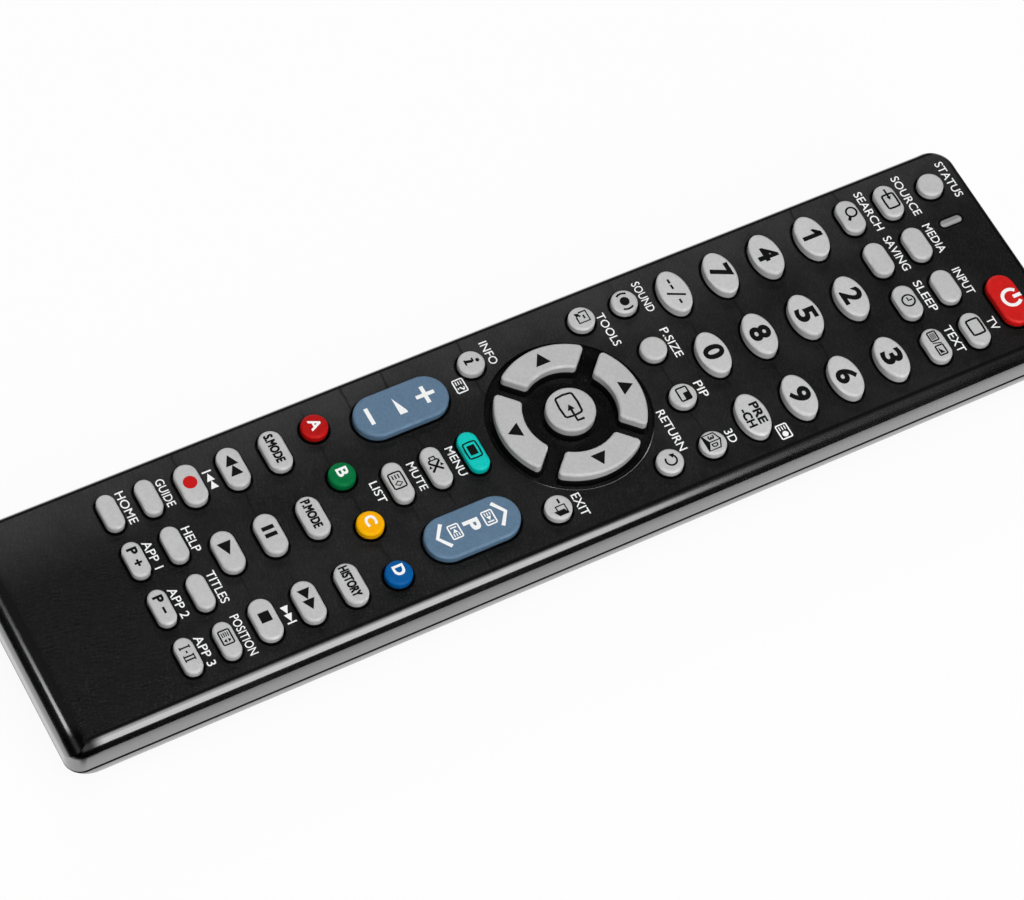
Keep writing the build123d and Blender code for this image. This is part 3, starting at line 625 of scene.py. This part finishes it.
class Print:
    """Ink shapes that lie at one height, gathered into one mesh."""

    def __init__(self, height=KEY_HEIGHT):
        """Starts empty, for a surface at that height in millimetres."""
        self.form = bmesh.new()
        self.middle = height + INK_RISE - INK_DEPTH / 2

    def gather(self, data, place, thickness):
        """Turns a curve or text into a mesh of even thickness and puts it in place."""
        holder = bpy.data.objects.new("ink", data)
        scene.collection.objects.link(holder)
        bpy.context.view_layer.update()
        flat = bpy.data.meshes.new_from_object(holder.evaluated_get(bpy.context.evaluated_depsgraph_get()))
        bpy.data.objects.remove(holder)
        flat.transform(place @ Matrix.Diagonal((1, 1, INK_DEPTH / thickness, 1)))
        self.form.from_mesh(flat)
        bpy.data.meshes.remove(flat)

    def heavy_word(self, text, x, y, width, height, spread):
        """A word made heavier by laying it down four times, a little apart and each a hair higher."""
        start = self.middle
        for side, rise in ((-1, -1), (-1, 1), (1, -1), (1, 1)):
            self.word(text, x + side * spread / 2, y + rise * spread / 2, width - spread, height - spread)
            self.middle += LAYER_RISE
        self.middle = start

    def word(self, text, x, y, width, height, bold=0.0):
        """Capital letters or figures in a box of that width and height."""
        data = bpy.data.curves.new("word", "FONT")
        data.body = text
        data.offset = bold
        data.extrude = 0.5
        data.resolution_u = 4
        trial = bpy.data.objects.new("word", data)
        scene.collection.objects.link(trial)
        bpy.context.view_layer.update()
        corners = [Vector(corner) for corner in trial.bound_box]
        bpy.data.objects.remove(trial)
        low = Vector(min(corner[axis] for corner in corners) for axis in range(3))
        high = Vector(max(corner[axis] for corner in corners) for axis in range(3))
        size = high - low
        middle = (high + low) / 2
        place = (Matrix.Translation((x, y, self.middle))
                 @ Matrix.Diagonal((width / size.x, height / size.y, 1, 1))
                 @ Matrix.Translation((-middle.x, -middle.y, 0)))
        self.gather(data, place, 1.0)

    def line(self, points, width, closed=False):
        """A drawn line through the points, of that width."""
        data = bpy.data.curves.new("line", "CURVE")
        data.dimensions = "3D"
        data.bevel_depth = width / 2
        data.bevel_resolution = 1
        data.use_fill_caps = True
        trace_strokes(data, points, closed)
        self.gather(data, Matrix.Translation((0, 0, self.middle)), width)

    def patch(self, points):
        """A filled shape with straight sides."""
        data = bpy.data.curves.new("patch", "CURVE")
        data.dimensions = "2D"
        data.fill_mode = "BOTH"
        data.extrude = 0.5
        trace_strokes(data, points, closed=True)
        self.gather(data, Matrix.Translation((0, 0, self.middle)), 1.0)

    def arc(self, x, y, radius, width, start=0.0, end=360.0):
        """A ring, or part of one, between two angles in degrees."""
        steps = max(6, round(abs(end - start) / 12))
        closed = end - start >= 360
        count = steps if closed else steps + 1
        angles = [math.radians(start + (end - start) * step / steps) for step in range(count)]
        points = [(x + radius * math.cos(angle), y + radius * math.sin(angle)) for angle in angles]
        self.line(points, width, closed)

    def dot(self, x, y, radius):
        """A filled round."""
        angles = [math.tau * step / 32 for step in range(32)]
        self.patch([(x + radius * math.cos(angle), y + radius * math.sin(angle)) for angle in angles])

    def block(self, x, y, width, height):
        """A filled rectangle about its middle."""
        self.patch([(x - width / 2, y - height / 2), (x + width / 2, y - height / 2),
                    (x + width / 2, y + height / 2), (x - width / 2, y + height / 2)])

    def screen(self, x, y, width, height, stroke, bulge=0.0):
        """The outline of a small screen with cut corners, its sides bulged a little."""
        w, h, cut = width / 2 - stroke / 2, height / 2 - stroke / 2, 0.07 * height
        self.line([(x - w + cut, y - h), (x, y - h - bulge), (x + w - cut, y - h), (x + w, y - h + cut),
                   (x + w + bulge, y), (x + w, y + h - cut), (x + w - cut, y + h), (x, y + h + bulge),
                   (x - w + cut, y + h), (x - w, y + h - cut), (x - w - bulge, y), (x - w, y - h + cut)],
                  stroke, closed=True)

    def triangle(self, x, y, width, height, turn=0.0):
        """A filled triangle that points along the angle turn, in degrees, from +X."""
        angle = math.radians(turn)
        corners = [(height / 2, 0), (-height / 2, width / 2), (-height / 2, -width / 2)]
        self.patch([(x + a * math.cos(angle) - b * math.sin(angle),
                     y + a * math.sin(angle) + b * math.cos(angle)) for a, b in corners])

    def finish(self, name, body, ink):
        """Makes the gathered shapes one piece that rides on a body."""
        mesh = bpy.data.meshes.new(name)
        bmesh.ops.remove_doubles(self.form, verts=self.form.verts, dist=0.0005)
        bmesh.ops.recalc_face_normals(self.form, faces=self.form.faces)
        for face in self.form.faces:
            face.smooth = False
        bmesh.ops.scale(self.form, vec=(MM, MM, MM), verts=self.form.verts)
        self.form.to_mesh(mesh)
        self.form.free()
        mesh.materials.append(ink)
        piece = bpy.data.objects.new(name, mesh)
        scene.collection.objects.link(piece)
        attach(piece, body)

    def finish_on(self, key, ink=BLACK_INK):
        """Makes the gathered shapes one piece on a key, or on a row of keys."""
        self.finish(key.removesuffix("_keys") + "_print", key, ink)


FACE_WORDS = (
    ("STATUS", -16.4, 101.5, 8.6, 1.75),
    ("SOURCE", -16.5, 91.65, 9.6, 1.75),
    ("MEDIA", -5.7, 91.6, 6.9, 1.75),
    ("INPUT", 5.1, 91.6, 6.3, 1.75),
    ("TV", 15.75, 91.65, 2.9, 1.75),
    ("SEARCH", -16.4, 83.0, 9.4, 1.75),
    ("SAVING", -5.7, 83.0, 8.3, 1.75),
    ("SLEEP", 5.0, 83.0, 7.3, 1.75),
    ("TEXT", 15.7, 83.0, 6.2, 1.75),
    ("SOUND", -17.3, 33.0, 7.0, 1.7),
    ("P.SIZE", -6.15, 32.95, 6.8, 1.7),
    ("PIP", 5.2, 32.95, 3.6, 1.7),
    ("3D", 16.45, 32.95, 2.9, 1.7),
    ("TOOLS", -13.6, 23.4, 7.6, 1.7),
    ("RETURN", 10.75, 23.35, 9.3, 1.7),
    ("INFO", -18.4, 0.2, 5.2, 1.7),
    ("EXIT", 17.55, 0.2, 4.9, 1.7),
    ("MENU", -0.1, -16.35, 6.5, 1.6),
    ("MUTE", -0.25, -24.35, 6.2, 1.6),
    ("LIST", -0.25, -32.4, 4.6, 1.65),
    ("GUIDE", -16.3, -67.55, 6.0, 1.7),
    ("HELP", -5.65, -67.5, 5.4, 1.7),
    ("TITLES", 5.1, -67.5, 6.9, 1.7),
    ("POSITION", 15.8, -67.5, 8.6, 1.7),
    ("HOME", -16.4, -75.2, 7.0, 1.7),
    ("APP 1", -5.65, -75.2, 6.0, 1.7),
    ("APP 2", 5.1, -75.2, 6.4, 1.7),
    ("APP 3", 15.75, -75.2, 6.4, 1.7),
)


def print_face_words():
    """White words and small signs on the face. Each word has its text, x, y, width and height."""
    ink = Print(FACE_HEIGHT)
    for text, x, y, width, height in FACE_WORDS:
        ink.word(text, x, y, width, height, bold=0.006)
    for side, middle_y in ((-1, -58.9), (1, -58.6)):
        outer = side * 15.4
        turn = 0 if side > 0 else 180
        for step in (-0.83, 0.83):
            ink.triangle(outer - side * 0.2 + step + 0.1, middle_y, 1.55, 1.65, turn)
        ink.block(outer + side * 1.75, middle_y, 0.32, 1.8)
    ink.screen(19.75, 42.55, 3.3, 2.5, 0.3)
    for row in (-0.55, 0.0, 0.55):
        ink.line([(18.6, 42.55 + row), (19.45, 42.55 + row)], 0.22)
    ink.dot(20.35, 42.55, 0.6)
    ink.screen(-14.2, -8.1, 3.1, 2.35, 0.28)
    for row in (-0.5, 0.0, 0.5):
        ink.line([(-15.25, -8.1 + row), (-14.45, -8.1 + row)], 0.2)
    ink.word("?", -13.55, -8.1, 0.85, 1.4)
    ink.finish("face_print", "case", WHITE_INK)


def print_figures():
    """Figures, dashes and letters on the twelve oval keys."""
    rows = ((68.89, "123"), (58.69, "456"), (48.49, "789"), (38.29, " 0 "))
    for row_y, figures in rows:
        for figure, column_x in zip(figures, (-15.0, 0.0, 15.0)):
            if figure == " ":
                continue
            ink = Print(NUMBER_HEIGHT)
            if figure == "1":
                ink.block(column_x + 0.16, row_y, 0.92, 4.15)
                ink.patch([(column_x - 1.27, row_y + 0.86), (column_x - 1.27, row_y + 0.26),
                           (column_x - 0.02, row_y + 0.8), (column_x - 0.02, row_y + 2.06),
                           (column_x - 0.26, row_y + 2.06)])
            else:
                ink.word(figure, column_x, row_y, 3.15, 4.25, bold=0.038)
            ink.finish_on("number_" + figure)
    ink = Print(NUMBER_HEIGHT)
    for dash_x in (-17.27, -15.92, -12.47):
        ink.line([(dash_x - 0.5, 38.21), (dash_x + 0.5, 38.21)], 0.44)
    ink.line([(-14.95, 36.55), (-13.4, 39.85)], 0.46)
    ink.finish_on("dash_key")
    ink = Print(NUMBER_HEIGHT)
    ink.heavy_word("PRE", 15.13, 39.26, 4.8, 1.8, 0.18)
    ink.heavy_word("-CH", 15.43, 37.01, 4.2, 1.8, 0.18)
    ink.finish_on("previous_key")


def print_head_keys():
    """Signs on the power key and on the two rows of pills below it."""
    ink = Print(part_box("power_key")[1].z / MM)
    ink.arc(12.97, 97.27, 1.78, 0.72, 130, 410)
    ink.line([(12.97, 97.6), (12.97, 99.35)], 0.78)
    ink.finish_on("power_key", WHITE_INK)
    ink = Print()
    ink.screen(-15.87, 87.37, 3.55, 2.9, 0.44, 0.06)
    ink.line([(-18.75, 87.43), (-16.6, 87.43)], 0.42)
    ink.triangle(-16.5, 87.43, 0.95, 0.8)
    ink.screen(15.78, 87.28, 3.8, 3.0, 0.44, 0.06)
    ink.finish_on("source_row_keys")
    ink = Print()
    ink.arc(-16.77, 78.87, 1.05, 0.4)
    ink.line([(-16.0, 78.2), (-15.15, 77.55)], 0.62)
    ink.arc(5.33, 78.53, 1.25, 0.38)
    ink.line([(5.33, 79.35), (5.33, 78.5), (4.6, 78.5)], 0.34)
    ink.screen(14.25, 78.53, 2.4, 2.0, 0.34)
    ink.screen(17.5, 78.53, 2.5, 2.0, 0.34)
    for row in (-0.42, -0.14, 0.14, 0.42):
        ink.line([(13.55, 78.53 + row), (14.95, 78.53 + row)], 0.17)
    ink.line([(15.65, 77.7), (16.1, 79.4)], 0.24)
    ink.patch([(16.9, 78.05), (18.2, 78.05), (18.2, 79.0)])
    ink.finish_on("search_row_keys")


def print_ring_keys():
    """Signs on the arrow ring and on the round keys about it."""
    for name, x, y, turn in (("up", 0.0, 19.4, 90), ("left", -11.9, 7.45, 180),
                             ("right", 11.8, 7.35, 0), ("down", 0.0, -4.55, 270)):
        ink = Print(ARROW_HEIGHT)
        ink.triangle(x, y, 3.1, 2.6, turn)
        ink.finish_on(name + "_key")
    ink = Print(ARROW_HEIGHT)
    ink.screen(-0.84, 7.42, 4.95, 3.95, 0.46, 0.16)
    ink.line([(2.76, 8.84), (2.76, 7.42), (-0.19, 7.42)], 0.52)
    ink.triangle(-0.39, 7.42, 1.5, 1.25, 180)
    ink.finish_on("enter_key")
    ink = Print()
    ink.dot(-17.0, 28.53, 0.95)
    ink.arc(-17.0, 28.53, 1.78, 0.4, -35, 35)
    ink.arc(-17.0, 28.53, 1.78, 0.4, 145, 215)
    ink.finish_on("sound_key")
    ink = Print()
    ink.screen(5.55, 28.65, 3.15, 2.5, 0.36)
    ink.block(6.15, 29.15, 1.6, 1.25)
    ink.finish_on("inset_key")
    ink = Print()
    ink.line([(15.2, 29.35), (16.85, 30.1), (18.5, 29.35), (18.5, 27.0), (16.85, 27.75), (15.2, 27.0)],
             0.32, closed=True)
    ink.line([(16.85, 30.0), (16.85, 27.8)], 0.24)
    ink.word("3", 16.0, 28.55, 0.85, 1.3, bold=0.04)
    ink.word("D", 17.7, 28.55, 0.85, 1.3, bold=0.04)
    ink.patch([(15.2, 27.0), (16.85, 27.75), (18.5, 27.0), (18.5, 26.8), (15.2, 26.8)])
    ink.finish_on("depth_key")
    ink = Print()
    ink.line([(-17.55, 18.35), (-16.1, 18.35), (-16.1, 20.6), (-18.35, 20.6), (-18.35, 19.15)], 0.36)
    ink.line([(-17.6, 19.8), (-16.75, 19.8)], 0.36)
    ink.line([(-18.3, 18.3), (-17.5, 19.2)], 0.42)
    ink.triangle(-18.1, 18.5, 1.1, 0.9, 225)
    ink.finish_on("tools_key")
    ink = Print()
    ink.arc(17.1, 19.43, 1.08, 0.38, -130, 145)
    ink.triangle(16.15, 19.85, 1.05, 1.0, 235)
    ink.finish_on("return_key")
    ink = Print()
    ink.line([(-17.2, -4.05), (-17.5, -5.5)], 0.62)
    ink.block(-17.5, -3.95, 0.8, 0.34)
    ink.block(-17.3, -5.5, 1.2, 0.34)
    ink.dot(-17.05, -3.1, 0.38)
    ink.finish_on("info_key")
    ink = Print()
    ink.line([(15.5, -3.9), (16.5, -3.9)], 0.4)
    ink.line([(16.95, -3.2), (18.85, -3.2), (18.85, -5.0), (16.95, -5.0)], 0.36, closed=True)
    ink.patch([(17.85, -3.6), (18.95, -3.15), (18.95, -5.05), (17.85, -5.75)])
    ink.finish_on("exit_key")


def print_middle_keys():
    """Signs on the menu, mute and list keys and on both rockers."""
    ink = Print()
    ink.screen(-0.17, -13.1, 3.7, 2.9, 0.34, 0.08)
    ink.block(-0.17, -13.1, 2.1, 1.55)
    ink.finish_on("menu_key")
    ink = Print()
    ink.line([(-1.95, -20.25), (-1.25, -20.25), (-1.25, -21.25), (-1.95, -21.25)], 0.38, closed=True)
    ink.line([(-0.95, -19.65), (-1.35, -20.1)], 0.34)
    ink.line([(-0.95, -21.85), (-1.35, -21.4)], 0.34)
    ink.line([(-0.9, -19.65), (1.15, -21.85)], 0.44)
    ink.line([(-0.9, -21.85), (1.15, -19.65)], 0.44)
    ink.patch([(-0.35, -19.7), (0.3, -19.2), (0.3, -19.95)])
    ink.patch([(-0.35, -21.8), (0.3, -22.3), (0.3, -21.55)])
    ink.finish_on("mute_key")
    ink = Print()
    ink.screen(-0.2, -28.63, 3.65, 2.8, 0.34, 0.06)
    for row in (-0.58, 0.0, 0.58):
        ink.line([(-1.4, -28.65 + row), (-0.5, -28.65 + row)], 0.27)
    ink.line([(0.5, -27.9), (1.0, -28.63), (0.5, -29.35), (0.0, -28.63)], 0.28, closed=True)
    ink.finish_on("list_key")
    ink = Print(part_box("volume_rocker")[1].z / MM)
    ink.block(-14.37, -15.53, 3.75, 0.78)
    ink.block(-14.37, -15.53 + 1.13, 0.78, 1.49)
    ink.block(-14.37, -15.53 - 1.13, 0.78, 1.49)
    ink.patch([(-16.15, -21.65), (-12.35, -21.65), (-12.35, -20.1), (-12.9, -20.15)])
    ink.block(-14.37, -27.05, 3.65, 0.8)
    ink.finish_on("volume_rocker", WHITE_INK)
    ink = Print(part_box("channel_rocker")[1].z / MM)
    ink.line([(11.25, -15.45), (13.77, -13.65), (16.3, -15.45)], 0.74)
    ink.line([(11.25, -25.85), (13.77, -27.65), (16.2, -25.85)], 0.74)
    ink.heavy_word("P", 13.85, -20.6, 2.45, 3.1, 0.3)
    for middle_y, turn in ((-17.05, 0), (-24.0, 180)):
        side = 1 if turn == 0 else -1
        ink.screen(13.72, middle_y, 3.15, 2.35, 0.3)
        for row in (-0.5, 0.0, 0.5):
            ink.line([(13.72 - side * 1.1, middle_y + row), (13.72 - side * 0.4, middle_y + row)], 0.2)
        ink.triangle(13.72 + side * 0.15, middle_y, 1.0, 0.8, turn)
        ink.block(13.72 + side * 0.85, middle_y, 0.28, 1.25)
    ink.finish_on("channel_rocker", WHITE_INK)


def print_foot_keys():
    """Letters, words and transport signs on the keys nearer the foot."""
    for letter, x, width, spread in (("a", -17.08, 2.35, 0.12), ("b", -6.0, 1.85, 0.14),
                                     ("c", 5.25, 2.15, 0.2), ("d", 16.5, 2.15, 0.2)):
        ink = Print()
        ink.heavy_word(letter.upper(), x, -36.92, width, 2.2, spread)
        ink.finish_on("key_" + letter, WHITE_INK)
    for name, text, x, width in (("sound_mode_key", "S.MODE", -15.58, 6.2),
                                 ("picture_mode_key", "P.MODE", -0.45, 6.1),
                                 ("history_key", "HISTORY", 14.88, 6.6)):
        ink = Print()
        ink.heavy_word(text, x, -45.97, width, 1.85, 0.17)
        ink.finish_on(name)
    ink = Print()
    ink.triangle(-16.75, -54.5, 2.45, 2.3, 180)
    ink.triangle(-14.5, -54.5, 2.45, 2.2, 180)
    ink.finish_on("rewind_key")
    ink = Print()
    ink.block(-1.17, -54.5, 0.85, 2.35)
    ink.block(0.33, -54.5, 0.85, 2.35)
    ink.finish_on("pause_key")
    ink = Print()
    ink.triangle(13.87, -54.45, 2.45, 2.2)
    ink.triangle(16.1, -54.45, 2.45, 2.2)
    ink.finish_on("forward_key")
    ink = Print()
    ink.dot(-15.53, -63.0, 1.33)
    ink.finish_on("record_key", RED_INK)
    ink = Print()
    ink.triangle(-0.42, -63.03, 2.75, 2.8)
    ink.finish_on("play_key")
    ink = Print()
    ink.block(14.93, -63.0, 2.12, 2.12)
    ink.finish_on("stop_key")
    ink = Print()
    ink.screen(15.67, -71.05, 3.2, 2.4, 0.32)
    for row in (-0.57, -0.19, 0.19, 0.57):
        ink.line([(14.65, -71.05 + row), (15.6, -71.05 + row)], 0.2)
    ink.triangle(16.35, -70.6, 0.8, 0.6, 90)
    ink.triangle(16.35, -71.5, 0.8, 0.6, 270)
    ink.finish_on("guide_row_keys")
    ink = Print()
    ink.word("P", -7.0, -78.58, 1.45, 1.95, bold=0.045)
    ink.line([(-5.15, -78.6), (-3.7, -78.6)], 0.44)
    ink.line([(-4.43, -77.88), (-4.43, -79.32)], 0.44)
    ink.word("P", 3.75, -78.58, 1.45, 1.95, bold=0.045)
    ink.line([(5.5, -78.55), (6.85, -78.55)], 0.44)
    for bar_x in (14.45, 16.3, 17.0):
        ink.block(bar_x, -78.65, 0.3, 2.0)
        ink.block(bar_x, -77.72, 0.66, 0.22)
        ink.block(bar_x, -79.58, 0.66, 0.22)
    ink.line([(15.15, -78.65), (15.65, -78.65)], 0.3)
    ink.finish_on("last_row_keys")


def print_door_mark():
    """Arrow in the grip scoop of the lower shell: the way the battery door is pressed."""
    ink = Print(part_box("bottom_cover")[0].z / MM + SCOOP_DEPTH)
    ink.triangle(0.0, -17.4, 3.0, 2.2, 270)
    ink.block(0.0, -15.2, 1.0, 2.4)
    ink.finish("door_mark_print", "case", WHITE_INK)


print_face_words()
print_door_mark()
print_figures()
print_head_keys()
print_ring_keys()
print_middle_keys()
print_foot_keys()


# Studio

FLOOR_DROP = 0.1
PAPER_WHITE = 0.93
POOL_EDGE = 6.6
POOL_END = 7.8


def make_paper():
    """White paper: white to the camera, keeps the object's shadow, and in reflections glows as a painted pool
    of light only near the object.
    """
    paper = bpy.data.materials.new("white_paper")
    paper.use_nodes = True
    tree = paper.node_tree
    shader = tree.nodes["Principled BSDF"]
    shader.inputs["Base Color"].default_value = (0.9, 0.9, 0.9, 1)
    shader.inputs["Roughness"].default_value = 0.9
    shader.inputs["Specular IOR Level"].default_value = 0.0
    parts = wire(tree, "SeparateXYZ", {0: wire(tree, "NewGeometry").outputs["Position"]})
    right = sums(tree, "SUBTRACT", parts.outputs["X"], HALF_WIDTH * MM)
    left = sums(tree, "SUBTRACT", product(tree, parts.outputs["X"], -1.0), HALF_WIDTH * MM)
    beyond = sums(tree, "SUBTRACT", sums(tree, "ABSOLUTE", parts.outputs["Y"]), HALF_LENGTH * MM)
    away = either(tree, right, product(tree, left, 0.05), product(tree, beyond, 0.25))
    # Painted pool of light: in reflections the paper glows only close to the object.
    pool = wire(tree, "MapRange", {"Value": away, "From Min": POOL_EDGE * MM, "From Max": POOL_END * MM,
                                   "To Min": 1.0, "To Max": 0.015}, interpolation_type="SMOOTHSTEP")
    path = wire(tree, "LightPath")
    glossy = path.outputs["Is Glossy Ray"]
    seen = either(tree, path.outputs["Is Camera Ray"], path.outputs["Is Transmission Ray"])
    share = either(tree, product(tree, seen, PAPER_WHITE), glossy)
    level = either(tree, product(tree, pool.outputs["Result"], glossy), sums(tree, "SUBTRACT", 1.0, glossy))
    glow = wire(tree, "Emission", {"Color": (1, 1, 1, 1), "Strength": level})
    both = wire(tree, "MixShader", {0: share, 1: shader.outputs[0], 2: glow.outputs[0]})
    tree.links.new(both.outputs[0], tree.nodes["Material Output"].inputs["Surface"])
    return paper


def make_room():
    """A wide pale floor just under the object and a round pale wall far behind it."""
    paper = make_paper()
    for name, radius, height in (("floor", 6.0, 0.0), ("backdrop", 5.5, 3.0)):
        form = bmesh.new()
        bmesh.ops.create_circle(form, cap_ends=not height, segments=64, radius=radius)
        if height:
            wall = bmesh.ops.extrude_edge_only(form, edges=form.edges[:])["geom"]
            raised = [corner for corner in wall if isinstance(corner, bmesh.types.BMVert)]
            bmesh.ops.translate(form, vec=(0, 0, height), verts=raised)
        bmesh.ops.translate(form, vec=(0, 0, -FLOOR_DROP * MM), verts=form.verts)
        mesh = bpy.data.meshes.new(name)
        form.to_mesh(mesh)
        form.free()
        mesh.materials.append(paper)
        piece = bpy.data.objects.new(name, mesh)
        scene.collection.objects.link(piece)


def make_world():
    """The dark studio round the paper, a little lighter overhead."""
    world = bpy.data.worlds.new("studio")
    scene.world = world
    world.use_nodes = True
    tree = world.node_tree
    place = wire(tree, "SeparateXYZ", {0: wire(tree, "TexCoord").outputs["Generated"]})
    level = wire(tree, "MapRange", {"Value": place.outputs["Z"], "From Min": 0.3, "From Max": 1.0,
                                    "To Min": 0.01, "To Max": 0.07})
    tree.links.new(level.outputs["Result"], tree.nodes["Background"].inputs["Strength"])
    tree.nodes["Background"].inputs["Color"].default_value = (1, 1, 1, 1)


def make_lamp(name, place, aim, size_x, size_y, power):
    """A soft rectangular lamp that faces a point."""
    data = bpy.data.lights.new(name, "AREA")
    data.shape = "RECTANGLE"
    data.size = size_x
    data.size_y = size_y
    data.energy = power
    lamp = bpy.data.objects.new(name, data)
    scene.collection.objects.link(lamp)
    lamp.location = place
    lamp.rotation_euler = (Vector(aim) - Vector(place)).to_track_quat("-Z", "Y").to_euler()


def make_camera():
    """The photograph's view."""
    data = bpy.data.cameras.new("camera")
    data.sensor_width = 36.0
    data.lens = 135.2
    data.clip_start = 0.01
    camera = bpy.data.objects.new("camera", data)
    scene.collection.objects.link(camera)
    camera.location = (0.29186, -0.23580, 0.62268)
    camera.rotation_euler = [math.radians(turn) for turn in (30.953, -6.164, 61.712)]
    scene.camera = camera


make_room()
make_world()
make_lamp("side_softbox", (1.034, 0.105, 0.60), (0, 0, 0), 0.70, 1.22, 7.8)
make_lamp("front_softbox", (0.330, -0.100, 1.150), (0, 0, 0), 0.9, 0.9, 8.6)
make_lamp("foot_strip", (-0.178, -1.029, 0.43), (0, 0, 0), 0.52, 0.24, 1.35)
make_lamp("rim_lamp", (-0.93, 0.27, 0.688), (0, 0, 0), 0.95, 0.25, 3.4)
make_camera()
scene.view_settings.view_transform = "Standard"
